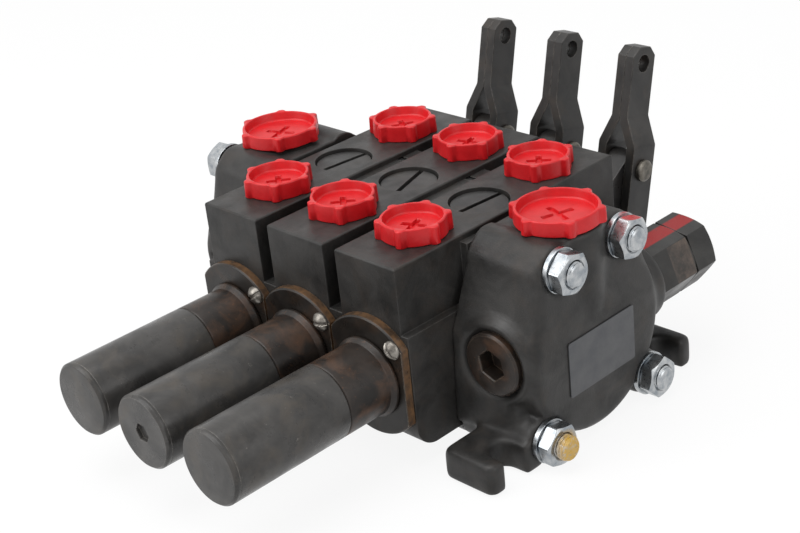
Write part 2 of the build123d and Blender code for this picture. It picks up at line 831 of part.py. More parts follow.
def inlet_cover():
    """The cover with the pump port, the relief valve and the front plug."""
    body = cover_blank()
    rear = rod("y", relief_boss_radius, 0, relief_boss_face, cross_bore_x, cross_bore_height)
    body += fillet(rear.edges().sort_by(Axis.Y)[-1], relief_boss_edge)
    spot_floor = -plug_boss_face + plug_spotface_depth
    body -= rod("y", plug_spotface_radius, -plug_boss_face - 5, spot_floor, cross_bore_x, cross_bore_height)
    body -= rod("y", cross_bore_radius, -plug_boss_face, relief_boss_face, cross_bore_x, cross_bore_height)
    body -= rod("z", port_radius, cross_bore_height, main_port_top, main_port_x, 0)
    body -= rod("z", passage_radius, passage_height, cross_bore_height, main_port_x, 0)
    return body - rod("x", passage_radius, stack_half, main_port_x, 0, passage_height)


def outlet_cover():
    """The far cover, with a blank boss in front and the tank port on top."""
    body = cover_blank()
    witness_x = cross_bore_x + witness_offset
    witness_floor = -plug_boss_face + witness_depth
    body -= rod("y", witness_radius, -plug_boss_face, witness_floor, witness_x, cross_bore_height)
    for y in passage_places:
        body -= rod("x", seal_radius, stack_half, stack_half + seal_depth, y, passage_height)
    for y in (passage_places[0], passage_places[-1]):
        body -= rod("x", passage_radius, stack_half, main_port_x, y, passage_height)
    body -= rod("y", passage_radius, passage_places[0], passage_places[-1], main_port_x, passage_height)
    body -= rod("z", port_radius, cross_bore_height, main_port_top, main_port_x, 0)
    body -= rod("z", passage_radius, passage_height, cross_bore_height, main_port_x, 0)
    return mirror(body, Plane.YZ)


def front_plug():
    """The hexagon socket plug at the front end of the cross bore."""
    floor = -plug_boss_face + plug_spotface_depth
    profile = [
        (0, -plug_face), (plug_head_radius - plug_edge, -plug_face),
        (plug_head_radius, -plug_face + plug_edge),
        (plug_head_radius, floor - free_gap), (cross_bore_radius - running_gap, floor - free_gap),
        (cross_bore_radius - running_gap, floor + plug_shank_length), (0, floor + plug_shank_length),
    ]
    plug = turned(profile, "y", cross_bore_x, cross_bore_height)
    return plug - hexagon(
        "y", plug_socket_flats, -plug_face, -plug_face + plug_socket_depth, cross_bore_x, cross_bore_height
    )


def relief_body():
    """The relief valve's body: a threaded shank with a seat, and a hexagon outside the boss."""
    face = relief_boss_face
    hex_end = face + relief_body_length
    shank = cross_bore_radius - running_gap
    body = rod("y", shank, relief_shank_end, face, cross_bore_x, cross_bore_height)
    body += chamfered_hexagon(
        "y", relief_flats, face, hex_end, cross_bore_x, cross_bore_height, relief_phase, both=False
    )
    body -= rod("y", relief_bore + running_gap, relief_seat, hex_end, cross_bore_x, cross_bore_height)
    body -= rod("y", relief_seat_radius, relief_shank_end, hex_end, cross_bore_x, cross_bore_height)
    return body


def relief_cap():
    """The cap nut over the relief valve's adjusting screw."""
    start = relief_boss_face + relief_body_length
    end = start + relief_cap_length
    cap = chamfered_hexagon(
        "y", relief_flats, start, end, cross_bore_x, cross_bore_height, relief_phase, both=False
    )
    hollow = relief_bore + relief_cap_gap
    return cap - rod("y", hollow, start, end - relief_cap_wall, cross_bore_x, cross_bore_height)


def relief_poppet():
    """The relief poppet: a cone on the seat, a guide land and a stem for the spring."""
    seat = relief_seat
    stem_end = relief_spring_start + relief_stem_length
    profile = [
        (0, seat - relief_nose), (relief_nose / 2, seat - relief_nose),
        (relief_seat_radius - 2 * running_gap, seat),
        (relief_bore, seat), (relief_bore, relief_spring_start), (relief_stem_radius, relief_spring_start),
        (relief_stem_radius, stem_end), (0, stem_end),
    ]
    return turned(profile, "y", cross_bore_x, cross_bore_height)


def relief_spring():
    """The relief valve's spring, standing on the poppet's land."""
    return coil(
        relief_spring_radius, relief_spring_wire, relief_spring_length, relief_spring_turns,
        "y", cross_bore_x, cross_bore_height, relief_spring_start,
    )


def relief_screw():
    """The adjusting screw, with a nose inside the spring and a slot under the cap nut."""
    seat = relief_spring_start + relief_spring_length + relief_lift + free_gap
    tip = seat - relief_screw_nose
    end = relief_boss_face + relief_body_length + relief_screw_reach
    profile = [
        (0, tip), (relief_stem_radius, tip), (relief_stem_radius, seat), (relief_bore, seat),
        (relief_bore, end - machined_edge), (relief_bore - machined_edge, end), (0, end),
    ]
    screw = turned(profile, "y", cross_bore_x, cross_bore_height)
    slot = Box(2 * relief_bore, 2 * relief_screw_slot, relief_screw_slot)
    return screw - Pos(cross_bore_x, end, cross_bore_height) * slot


def tie_bolts():
    """Four long bolts with their heads on the outlet side."""
    bolts = []
    for y, z in tie_places:
        is_long = y < 0 and z == tie_lower_height
        stick_out = tie_long_stick_out if is_long else tie_stick_out
        seat = tie_face(z) + tie_washer
        end = seat + tie_nut_height + stick_out
        tip = tie_radius - tie_end_chamfer
        profile = [(0, -seat), (tie_radius, -seat), (tie_radius, end - tie_end_chamfer), (tip, end), (0, end)]
        shank = turned(profile, "x", y, z)
        bolts.append(shank + chamfered_hexagon("x", tie_flats, -seat - tie_head_height, -seat, y, z))
    return bolts


def tie_nuts():
    """The four nuts on the inlet side."""
    nuts = []
    for (y, z), turn in zip(tie_places, tie_nut_turns):
        start = tie_face(z) + tie_washer
        end = start + tie_nut_height
        nut = chamfered_hexagon("x", tie_flats, start, end, y, z, turn)
        nuts.append(nut - rod("x", tie_radius + running_gap, start, end, y, z))
    return nuts


def tie_washers():
    """The split spring washers under the nuts and under the bolt heads."""
    washers = []
    for y, z in tie_places:
        for a in (tie_face(z), -tie_face(z) - tie_washer):
            ring = tube("x", tie_washer_radius, tie_radius + free_gap, a, a + tie_washer, y, z)
            split = Pos(a + tie_washer / 2, y + tie_washer_radius, z) * Box(
                tie_washer, 2 * tie_washer_radius, tie_washer_split
            )
            washers.append(ring - split)
    return washers


def section_seals():
    """The rings that seal the passages between the sections and the covers."""
    rings = []
    for joint in range(section_count + 1):
        face = joint * section_pitch - stack_half
        for y in passage_places:
            outer = seal_radius - running_gap
            inner = seal_radius - seal_width
            rings.append(tube("x", outer, inner, face - seal_depth, face, y, passage_height))
    return rings


def wipers():
    """The wiper rings at both ends of each spool bore."""
    rings = []
    for x in section_centres:
        for side in (-1, 1):
            a = side * half_length
            b = side * (half_length - wiper_depth)
            outer = wiper_radius - running_gap
            rings.append(tube("y", outer, spool_radius + running_gap, min(a, b), max(a, b), x, spool_height))
    return rings


def label_plate():
    """The bare data plate on the inlet cover."""
    outline = RectangleRounded(label_width, label_height, label_corner)
    outline = Pos(label_offset, label_centre_height) * outline
    return along_x(outline, bulge_face, bulge_face + label_thickness)


def build():
    """All nodes by name, each a list of solids, in drawing coordinates."""
    nodes = {
        "inlet_cover": [inlet_cover()],
        "outlet_cover": [outlet_cover()],
        "tie_bolts": tie_bolts(),
        "tie_nuts": tie_nuts(),
        "tie_washers": tie_washers(),
        "front_plug": [front_plug()],
        "relief_body": [relief_body()],
        "relief_cap": [relief_cap()],
        "relief_poppet": [relief_poppet()],
        "relief_spring": [relief_spring()],
        "relief_screw": [relief_screw()],
        "label_plate": [label_plate()],
        "spool_wipers": wipers(),
        "section_seals": section_seals(),
        "flange_screws": end_screws(-1, flange_thickness),
        "bracket_screws": end_screws(1, bracket_thickness),
        "port_caps": [
            port_cap(
                x, side * port_spacing / 2, section_top, cap_tip_radius, cap_height,
                port_radius, cap_plug_depth,
            )
            for x in section_centres
            for side in (-1, 1)
        ],
        "main_port_caps": [
            port_cap(
                side * main_port_x, 0, main_port_top, main_cap_tip_radius, main_cap_height,
                main_port_radius, main_cap_plug_depth,
            )
            for side in (-1, 1)
        ],
        "front_flanges": [front_flange(x) for x in section_centres],
        "detent_cages": [],
        "detent_balls": [],
    }
    for i, x in enumerate(section_centres, start=1):
        cage, balls = detent_cage(x)
        nodes["detent_cages"].append(cage)
        nodes["detent_balls"] += balls
        nodes[f"section_body_{i}"] = [section_body(x)]
        nodes[f"check_plug_{i}"] = [check_plug(x, check_slot_turns[i - 1])]
        nodes[f"check_poppet_{i}"] = [check_poppet(x)]
        nodes[f"check_spring_{i}"] = [check_spring(x)]
        nodes[f"spring_sleeve_{i}"] = [spring_sleeve(x)]
        nodes[f"detent_cap_{i}"] = [detent_cap(x, i == 2)]
        nodes[f"spool_{i}"] = [spool(x)]
        nodes[f"shoulder_screw_{i}"] = [shoulder_screw(x)]
        nodes[f"spring_seats_{i}"] = spring_seats(x)
        nodes[f"centring_spring_{i}"] = [centring_spring(x)]
        nodes[f"lever_bracket_{i}"] = [lever_bracket(x)]
        nodes[f"lever_plates_{i}"] = lever_plates(x)
        nodes[f"lever_pins_{i}"] = lever_pins(x)
    return nodes


def origin_of(nodes):
    """The bottom centre of the bounding box of everything."""
    box = Compound([solid for solids in nodes.values() for solid in solids]).bounding_box()
    return (box.min.X + box.max.X) / 2, (box.min.Y + box.max.Y) / 2, box.min.Z


if __name__ == "__main__":
    nodes = build()
    centre_x, centre_y, base_z = origin_of(nodes)
    print("origin in drawing coordinates", round(centre_x, 4), round(centre_y, 4), round(base_z, 4))
    for name, solids in nodes.items():
        placed = [Pos(-centre_x, -centre_y, -base_z) * solid for solid in solids]
        export_step(placed[0] if len(placed) == 1 else Compound(placed), f"parts/{name}.step")
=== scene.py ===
# %% [markdown]
# A sectional hydraulic control valve: three iron sections with their spools, levers and spring
# housings, clamped between two cast covers. The moving model comes packed from CAD, and this
# lesson dresses it: it gives every surface a finish, and rebuilds the pieces whose fine shape
# shows in a close view, such as the moulded caps, the nuts and the castings' soft corners.
#
# The first cell loads the imported model.

# %% Load the imported model
import json
import math
import bmesh
import bpy
import numpy as np
from mathutils import Matrix, Vector


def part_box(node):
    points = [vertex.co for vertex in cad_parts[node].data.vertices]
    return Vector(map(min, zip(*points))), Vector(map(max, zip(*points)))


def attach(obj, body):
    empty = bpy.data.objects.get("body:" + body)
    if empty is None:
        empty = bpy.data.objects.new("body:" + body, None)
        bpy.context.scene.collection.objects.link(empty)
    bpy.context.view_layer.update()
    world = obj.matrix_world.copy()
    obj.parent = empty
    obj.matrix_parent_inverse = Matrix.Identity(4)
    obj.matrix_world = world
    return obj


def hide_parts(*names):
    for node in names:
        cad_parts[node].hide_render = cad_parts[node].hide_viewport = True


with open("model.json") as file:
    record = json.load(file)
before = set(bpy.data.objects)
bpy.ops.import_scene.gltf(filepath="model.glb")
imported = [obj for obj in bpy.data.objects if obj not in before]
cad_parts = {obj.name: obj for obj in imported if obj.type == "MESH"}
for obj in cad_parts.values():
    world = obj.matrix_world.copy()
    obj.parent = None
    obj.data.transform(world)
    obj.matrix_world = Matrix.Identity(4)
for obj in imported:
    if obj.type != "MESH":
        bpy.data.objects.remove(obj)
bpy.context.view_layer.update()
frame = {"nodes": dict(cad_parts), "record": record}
nodes = frame["nodes"]
slot_of = {part["node"]: part["material_slot"] for part in frame["record"]["subparts"]}
body_of = {node: body for body, members in frame["record"]["behaviour"]["bodies"].items() for node in members}
MM = 0.001
low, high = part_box("section_body_2")
STACK_MIDDLE = Vector(((low.x + high.x) / 2, (low.y + high.y) / 2, 0.0))


# %% [markdown]
# The camera stands where the photographer stood. Its place was worked out from the corners of
# the sections, and it is kept here as a position, a heading, a pitch and a roll, because those
# are what a person can check against the picture. A long lens makes the view calm.

# %% Camera
CAMERA_FROM_MIDDLE = Vector((509.9, -474.75, 392.31)) * MM
CAMERA_HEADING = 47.761
CAMERA_PITCH = 25.989
CAMERA_ROLL = -6.248
SENSOR_WIDTH = 36.0
LENS = 70.59


def camera_turn(heading, pitch, roll):
    """Turn of a camera: first about its own line of sight, then up or down, then about Z."""
    level = Matrix.Rotation(math.radians(heading), 4, "Z")
    tilt = Matrix.Rotation(math.radians(90 - pitch), 4, "X")
    lean = Matrix.Rotation(math.radians(roll), 4, "Z")
    return level @ tilt @ lean


scene = bpy.context.scene
camera_data = bpy.data.cameras.new("photo_camera")
camera_data.sensor_width = SENSOR_WIDTH
camera_data.lens = LENS
camera_data.clip_start = 0.01
camera = bpy.data.objects.new("photo_camera", camera_data)
camera_place = Matrix.Translation(STACK_MIDDLE + CAMERA_FROM_MIDDLE)
camera.matrix_world = camera_place @ camera_turn(CAMERA_HEADING, CAMERA_PITCH, CAMERA_ROLL)
scene.collection.objects.link(camera)
scene.camera = camera
print("camera looks along", tuple(round(c, 3) for c in camera.matrix_world.to_3x3() @ Vector((0, 0, -1))))


# %% [markdown]
# Every finish below is a small tree of nodes. One helper puts a node into a tree: a setting that
# is a socket gets linked, and anything else is set as the node's own value. All patterns read
# Object coordinates, in metres, so a scale of 100 gives a pattern of about 10 mm.

# %% Helpers for node trees
def put(tree, kind, settings=None, **sockets):
    """Adds a node; settings are its properties, and sockets its inputs by name with _ for space."""
    node = tree.nodes.new(kind)
    for key, value in (settings or {}).items():
        setattr(node, key, value)
    for key, value in sockets.items():
        name = key.replace("_", " ")
        socket = node.inputs[int(name[1:])] if name[0] == "i" and name[1:].isdigit() else node.inputs[name]
        if isinstance(value, bpy.types.NodeSocket):
            tree.links.new(value, socket)
        else:
            socket.default_value = value
    return node


def start_finish(name):
    """A new material with an empty tree, its shader and the Object coordinate socket."""
    material = bpy.data.materials.new(name)
    material.use_nodes = True
    tree = material.node_tree
    tree.nodes.clear()
    shader = put(tree, "ShaderNodeBsdfPrincipled")
    output = put(tree, "ShaderNodeOutputMaterial", Surface=shader.outputs["BSDF"])
    output.location = (900, 0)
    place = put(tree, "ShaderNodeTexCoord").outputs["Object"]
    return material, tree, shader, place


def noise(tree, place, scale, detail=4.0, roughness=0.55, distortion=0.0):
    """A cloudy pattern from 0 to 1, mostly near a half."""
    return put(
        tree, "ShaderNodeTexNoise", Vector=place, Scale=scale, Detail=detail, Roughness=roughness,
        Distortion=distortion,
    ).outputs["Fac"]


def ramp(tree, value, low, high, start=0.0, end=1.0):
    """Maps a value between low and high onto start to end, and clamps it."""
    return put(
        tree, "ShaderNodeMapRange", {"clamp": True},
        Value=value, From_Min=low, From_Max=high, To_Min=start, To_Max=end,
    ).outputs["Result"]


def blend_colour(tree, share, first, second):
    """The first colour where share is 0, the second where it is 1."""
    mix = put(tree, "ShaderNodeMix", {"data_type": "RGBA"}, i0=share, i6=first, i7=second)
    return mix.outputs[2]


def multiply(tree, first, second):
    """The product of two values."""
    return put(tree, "ShaderNodeMath", {"operation": "MULTIPLY"}, i0=first, i1=second).outputs[0]


def edge_share(tree, radius, low=0.02, high=0.25):
    """1 on edges and 0 on faces: how far a rounded normal turns away from the true one."""
    soft = put(tree, "ShaderNodeBevel", {"samples": 6}, Radius=radius).outputs["Normal"]
    sharp = put(tree, "ShaderNodeNewGeometry").outputs["Normal"]
    dot = put(tree, "ShaderNodeVectorMath", {"operation": "DOT_PRODUCT"}, i0=soft, i1=sharp).outputs["Value"]
    return ramp(tree, dot, 1.0 - low, 1.0 - high)


def bump(tree, height, strength, distance, normal=None):
    """A bumped normal from a height value."""
    extra = {} if normal is None else {"Normal": normal}
    return put(
        tree, "ShaderNodeBump", Height=height, Strength=strength, Distance=distance, **extra
    ).outputs["Normal"]


def rgb(red, green, blue):
    """A colour socket's four numbers."""
    return (red, green, blue, 1.0)


print("helpers ready")


# %% [markdown]
# Most of the valve is black oxide: a thin, slightly warm dark skin on iron or steel. It is never
# one colour. Handling leaves dull and oily patches, edges rub through to grey metal, and on the
# spring housings oil and light rust turn it brown. One function makes the whole family: a dark
# and a light tone mixed by clouds, a stain on top, worn edges, and a grain in the bump.

# %% Oxide finishes
OXIDE_SHEEN = 0.28


def oxide_finish(name, dark, light, stain, stain_share, wear, wear_share, roughness, grain, grain_depth):
    """Two tones by clouds, a stain by larger clouds, wear on edges, and a fine grain."""
    material, tree, shader, place = start_finish(name)
    clouds = ramp(tree, noise(tree, place, 45.0, 7.0, 0.65, 0.6), 0.38, 0.64)
    colour = blend_colour(tree, clouds, rgb(*dark), rgb(*light))
    patches = ramp(tree, noise(tree, place, 55.0, 5.0, 0.65, 0.8), 0.50, 0.72, 0.0, stain_share)
    colour = blend_colour(tree, patches, colour, rgb(*stain))
    breaks = ramp(tree, noise(tree, place, 260.0, 5.0, 0.7), 0.38, 0.62, 0.15, 1.0)
    rubbed = multiply(tree, edge_share(tree, 0.0009), multiply(tree, breaks, wear_share))
    colour = blend_colour(tree, rubbed, colour, rgb(*wear))
    tree.links.new(colour, shader.inputs["Base Color"])
    gloss = ramp(tree, noise(tree, place, 70.0, 6.0, 0.65), 0.35, 0.65, roughness - 0.09, roughness + 0.11)
    tree.links.new(gloss, shader.inputs["Roughness"])
    shader.inputs["Specular IOR Level"].default_value = OXIDE_SHEEN
    grains = noise(tree, place, grain, 3.0, 0.6)
    tree.links.new(bump(tree, grains, 0.35, grain_depth), shader.inputs["Normal"])
    return material


finishes = {
    "black_iron": oxide_finish(
        "black_iron", (0.014, 0.0135, 0.013), (0.034, 0.0325, 0.031), (0.046, 0.036, 0.029), 0.45,
        (0.16, 0.15, 0.14), 0.45, 0.42, 1400.0, 0.00025,
    ),
    "black_steel": oxide_finish(
        "black_steel", (0.014, 0.0135, 0.0135), (0.032, 0.031, 0.030), (0.042, 0.034, 0.028), 0.5,
        (0.20, 0.19, 0.18), 0.6, 0.36, 2600.0, 0.00008,
    ),
    "oxide_steel": oxide_finish(
        "oxide_steel", (0.030, 0.029, 0.028), (0.062, 0.059, 0.056), (0.080, 0.068, 0.055), 0.6,
        (0.34, 0.32, 0.29), 0.8, 0.32, 3200.0, 0.00006,
    ),
    "brown_steel": oxide_finish(
        "brown_steel", (0.010, 0.008, 0.007), (0.028, 0.021, 0.017), (0.110, 0.055, 0.030), 0.55,
        (0.34, 0.27, 0.20), 0.9, 0.34, 2600.0, 0.00008,
    ),
    "lever_steel": oxide_finish(
        "lever_steel", (0.014, 0.0135, 0.013), (0.034, 0.032, 0.030), (0.052, 0.038, 0.028), 0.5,
        (0.32, 0.30, 0.27), 0.8, 0.38, 2600.0, 0.00008,
    ),
}
print("oxide finishes", sorted(finishes))


# %% [markdown]
# Zinc plate on the tie bolts, ground steel inside, dull screws and the seals are simpler. Bare
# metal is a full Metallic value with a pale colour; what makes it look real is the uneven gloss.

# %% Metals, rubber, plastic and the bare plate
def metal_finish(name, low, high, roughness, spread, scale, metallic=1.0):
    """A bare or plated metal: two tones by clouds, and uneven gloss."""
    material, tree, shader, place = start_finish(name)
    clouds = ramp(tree, noise(tree, place, scale, 5.0, 0.6), 0.35, 0.65)
    tree.links.new(blend_colour(tree, clouds, rgb(*low), rgb(*high)), shader.inputs["Base Color"])
    smear = ramp(tree, noise(tree, place, scale * 2.5, 4.0, 0.6), 0.3, 0.7, roughness - spread, roughness + spread)
    tree.links.new(smear, shader.inputs["Roughness"])
    shader.inputs["Metallic"].default_value = metallic
    tree.links.new(bump(tree, noise(tree, place, 3500.0, 2.0), 0.2, 0.00005), shader.inputs["Normal"])
    return material


def plastic_finish(name):
    """Moulded red plastic: a little light enters it, and its skin is faintly uneven."""
    material, tree, shader, place = start_finish(name)
    clouds = ramp(tree, noise(tree, place, 160.0, 5.0, 0.6), 0.3, 0.7)
    colour = blend_colour(tree, clouds, rgb(0.49, 0.006, 0.009), rgb(0.59, 0.011, 0.015))
    tree.links.new(colour, shader.inputs["Base Color"])
    shader.inputs["Roughness"].default_value = 0.36
    shader.inputs["Specular IOR Level"].default_value = 0.35
    shader.inputs["Subsurface Weight"].default_value = 0.12
    shader.inputs["Subsurface Radius"].default_value = (0.0015, 0.0005, 0.0005)
    ripples = noise(tree, place, 700.0, 3.0, 0.6)
    tree.links.new(bump(tree, ripples, 0.30, 0.00025), shader.inputs["Normal"])
    return material


finishes["zinc_steel"] = metal_finish("zinc_steel", (0.27, 0.295, 0.32), (0.50, 0.51, 0.515), 0.30, 0.06, 190.0)
finishes["grey_steel"] = metal_finish("grey_steel", (0.10, 0.09, 0.08), (0.30, 0.28, 0.25), 0.36, 0.08, 260.0, 0.8)
finishes["bright_steel"] = metal_finish("bright_steel", (0.45, 0.45, 0.45), (0.6, 0.6, 0.6), 0.28, 0.06, 200.0)
finishes["spring_steel"] = metal_finish("spring_steel", (0.2, 0.2, 0.21), (0.3, 0.3, 0.3), 0.34, 0.06, 300.0)
finishes["seal_rubber"] = metal_finish("seal_rubber", (0.015, 0.015, 0.015), (0.025, 0.025, 0.025), 0.6, 0.05, 300.0, 0.0)
finishes["label_metal"] = metal_finish("label_metal", (0.056, 0.058, 0.064), (0.080, 0.081, 0.085), 0.40, 0.06, 90.0, 0.3)
finishes["red_plastic"] = plastic_finish("red_plastic")
for name, node in nodes.items():
    node.data.materials.clear()
    node.data.materials.append(finishes[slot_of[name]])
print("finishes", len(finishes), "on", len(nodes), "nodes")


# %% [markdown]
# A used valve carries marks that tell its story: a red paint line over the relief valve's
# hexagon and on one nut shows that the setting was sealed, a bolt's end has a yellow dab, and the
# flanges' rims are rusty where the oil didn't reach. Each mark is a colour laid over a finish
# where a mask is 1. The masks measure distances along a direction, from Object coordinates.

# %% Paint marks and rusty rims
def place_of(node, x=0.5, y=0.5, z=0.5):
    """A place in a node's box, given by shares from its low to its high corner."""
    lowest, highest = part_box(node)
    return Vector([low + (high - low) * share for low, high, share in zip(lowest, highest, (x, y, z))])


def distance_along(tree, place, direction, origin):
    """How far a point lies along a direction from an origin, in metres."""
    offset = put(tree, "ShaderNodeVectorMath", {"operation": "SUBTRACT"}, i0=place, i1=tuple(origin))
    return put(
        tree, "ShaderNodeVectorMath", {"operation": "DOT_PRODUCT"}, i0=offset.outputs["Vector"],
        i1=tuple(direction),
    ).outputs["Value"]


def band(tree, value, low, high, soft=0.0006):
    """1 between two places and 0 outside them, with a soft border."""
    return multiply(tree, ramp(tree, value, low - soft, low), ramp(tree, value, high, high + soft, 1.0, 0.0))


def near(tree, place, origin, reach):
    """1 within a reach of a place, and 0 half as far again outside it."""
    gap = put(tree, "ShaderNodeVectorMath", {"operation": "DISTANCE"}, i0=place, i1=tuple(origin)).outputs["Value"]
    return ramp(tree, gap, reach, reach * 1.5, 1.0, 0.0)


def facing(tree, direction, low, high):
    """1 where a surface faces a direction, and 0 where it faces away."""
    normal = put(tree, "ShaderNodeNewGeometry").outputs["Normal"]
    dot = put(tree, "ShaderNodeVectorMath", {"operation": "DOT_PRODUCT"}, i0=normal, i1=tuple(direction))
    return ramp(tree, dot.outputs["Value"], low, high)


def lay_over(material, colour, mask, dull=False):
    """Lays a colour over a finish where mask(tree, place) is 1; paint on metal is also dull."""
    tree = material.node_tree
    shader = next(node for node in tree.nodes if node.type == "BSDF_PRINCIPLED")
    place = next(node for node in tree.nodes if node.type == "TEX_COORD").outputs["Object"]
    share = mask(tree, place)
    under = shader.inputs["Base Color"].links[0].from_socket
    tree.links.new(blend_colour(tree, share, under, rgb(*colour)), shader.inputs["Base Color"])
    if dull:
        links = shader.inputs["Metallic"].links
        share = multiply(tree, links[0].from_socket if links else 1.0, ramp(tree, share, 0.0, 1.0, 1.0, 0.0))
        tree.links.new(share, shader.inputs["Metallic"])


def worn(tree, place, scale=900.0, low=0.30, high=0.42):
    """A mask with small holes, as rubbed paint has."""
    return ramp(tree, noise(tree, place, scale, 5.0, 0.7), low, high, 0.2, 1.0)


RELIEF_TOP = math.radians(82.0)
RELIEF_SIDE = math.radians(22.0)
relief_axis = place_of("relief_body")
relief_near = place_of("relief_cap", y=0.0)
top_normal = (math.cos(RELIEF_TOP), 0.0, math.sin(RELIEF_TOP))
across_top = (math.sin(RELIEF_TOP), 0.0, -math.cos(RELIEF_TOP))
side_normal = (math.cos(RELIEF_SIDE), 0.0, math.sin(RELIEF_SIDE))


def relief_line(tree, place):
    """The painted line along the upper flat of the relief valve."""
    across = distance_along(tree, place, across_top, relief_axis)
    line = band(tree, across, -0.0052, 0.0022, 0.0008)
    return multiply(tree, multiply(tree, line, facing(tree, top_normal, 0.90, 0.95)), worn(tree, place, 500.0))


def relief_rub(tree, place):
    """A worn, brownish field on the next flat, near the cap nut."""
    along = distance_along(tree, place, (0.0, 1.0, 0.0), relief_near)
    field = band(tree, along, -0.016, -0.0015, 0.0005)
    field = multiply(tree, field, facing(tree, side_normal, 0.93, 0.97))
    return multiply(tree, field, ramp(tree, noise(tree, place, 150.0, 5.0, 0.7), 0.38, 0.62, 0.15, 0.85))


bolt_end = place_of("tie_bolts", x=1.0, z=0.0)
bolt_end.z += 0.0104
bolt_end.y = min(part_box("tie_bolts")[0].y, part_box("tie_bolts")[1].y) + 0.0104


def bolt_dab(tree, place):
    """Yellow marking paint on the end of one lower bolt."""
    return multiply(tree, near(tree, place, bolt_end, 0.0062), worn(tree, place, 420.0, 0.34, 0.50))


def painted_shade_shank(tree, place):
    """1 on the bolts' length inside the stack, where painted shade makes them near black and dull."""
    along = distance_along(tree, place, (1.0, 0.0, 0.0), STACK_MIDDLE)
    return band(tree, along, -0.098, 0.098)


def rusty_rim(tree, place):
    """1 on rims, whose normals lie across the spools, broken up by clouds."""
    rim = multiply(tree, facing(tree, (0.0, -1.0, 0.0), 0.55, 0.25), facing(tree, (0.0, 1.0, 0.0), 0.55, 0.25))
    return multiply(tree, rim, ramp(tree, noise(tree, place, 180.0, 6.0, 0.7), 0.40, 0.60, 0.25, 0.95))


def nicks(tree, place):
    """Small bright nicks, where a fine cloud pattern is at its highest."""
    return ramp(tree, noise(tree, place, 330.0, 6.0, 0.72, 0.4), 0.655, 0.70, 0.0, 0.75)


def rust_specks(tree, place):
    """Specks of rust a few tenths of a millimetre wide."""
    return ramp(tree, noise(tree, place, 520.0, 6.0, 0.75), 0.62, 0.70, 0.0, 0.8)


lay_over(finishes["oxide_steel"], (0.17, 0.16, 0.145), nicks)
lay_over(finishes["brown_steel"], (0.150, 0.066, 0.030), rust_specks)
finishes["relief_steel"] = oxide_finish(
    "relief_steel", (0.016, 0.0155, 0.015), (0.034, 0.033, 0.031), (0.046, 0.036, 0.028), 0.4,
    (0.20, 0.19, 0.18), 0.6, 0.38, 2600.0, 0.00008,
)
lay_over(finishes["relief_steel"], (0.25, 0.012, 0.012), relief_line)
lay_over(finishes["relief_steel"], (0.110, 0.082, 0.066), relief_rub)
# Painted shade: near black, not metallic, on the bolts' length between the sections and covers.
lay_over(finishes["zinc_steel"], (0.020, 0.020, 0.020), painted_shade_shank, dull=True)
lay_over(finishes["zinc_steel"], (0.50, 0.30, 0.04), bolt_dab, dull=True)
finishes["flange_steel"] = oxide_finish(
    "flange_steel", (0.010, 0.0085, 0.0075), (0.022, 0.018, 0.015), (0.060, 0.032, 0.018), 0.5,
    (0.50, 0.42, 0.33), 1.0, 0.34, 2600.0, 0.00008,
)
lay_over(finishes["flange_steel"], (0.125, 0.066, 0.030), rusty_rim)
finishes["pin_steel"] = metal_finish("pin_steel", (0.060, 0.055, 0.047), (0.170, 0.155, 0.130), 0.44, 0.06, 260.0, 0.6)
dressed_in = {"relief_body": "relief_steel", "relief_cap": "relief_steel", "front_flanges": "flange_steel"}
for number in (1, 2, 3):
    dressed_in[f"lever_pins_{number}"] = "pin_steel"
print("marks on", len(dressed_in) + 2, "nodes")


# %% [markdown]
# Now the shapes. A new piece is a grid of points worked out as one numpy array: one direction of
# the grid goes round the piece, the other along its profile. The helper below turns such a grid
# into a closed mesh, merges the points that fall together at a pole, and hangs the piece on the
# body that it moves with. Pieces are given in millimetres from the middle of the stack, on the
# level of the feet, which is how a fitter would measure them.

# %% Helpers for shapes
MERGE_DISTANCE = 0.000002
SHARP_ANGLE = 32.0
def centre_of(node):
    """The middle of a node's box, in millimetres from the middle of the stack."""
    lowest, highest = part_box(node)
    return ((lowest + highest) / 2 - STACK_MIDDLE) / MM


def span_of(node, axis):
    """A node's lowest and highest place along an axis, in millimetres from the middle of the stack."""
    lowest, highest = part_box(node)
    return (lowest[axis] - STACK_MIDDLE[axis]) / MM, (highest[axis] - STACK_MIDDLE[axis]) / MM


def add_piece(name, vertices, faces, body, slot, replaced=(), sharp=SHARP_ANGLE):
    """Makes a mesh from millimetre points and faces, closes it, and hangs it on a body."""
    mesh = bpy.data.meshes.new(name)
    points = np.asarray(vertices, float).reshape(-1, 3) * MM + np.array(STACK_MIDDLE)
    mesh.from_pydata(points.tolist(), [], np.asarray(faces).tolist())
    work = bmesh.new()
    work.from_mesh(mesh)
    bmesh.ops.remove_doubles(work, verts=work.verts, dist=MERGE_DISTANCE)
    bmesh.ops.recalc_face_normals(work, faces=work.faces)
    work.to_mesh(mesh)
    work.free()
    mesh.shade_smooth()
    mesh.set_sharp_from_angle(angle=math.radians(sharp))
    piece = bpy.data.objects.new(name, mesh)
    mesh.materials.append(finishes[slot])
    scene.collection.objects.link(piece)
    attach(piece, body)
    if replaced:
        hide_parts(*replaced)
    return piece


def grid_faces(around, along):
    """Quads of a grid that is closed in its first direction and open in its second."""
    index = np.arange(around * along).reshape(around, along)
    ahead = np.roll(index, -1, axis=0)
    quads = np.stack([index[:, :-1], ahead[:, :-1], ahead[:, 1:], index[:, 1:]], axis=-1)
    return quads.reshape(-1, 4)


AXES = {
    "x": np.array([[0, 1, 0], [0, 0, 1], [1, 0, 0]], float),
    "y": np.array([[0, 0, 1], [1, 0, 0], [0, 1, 0]], float),
    "z": np.array([[1, 0, 0], [0, 1, 0], [0, 0, 1]], float),
}


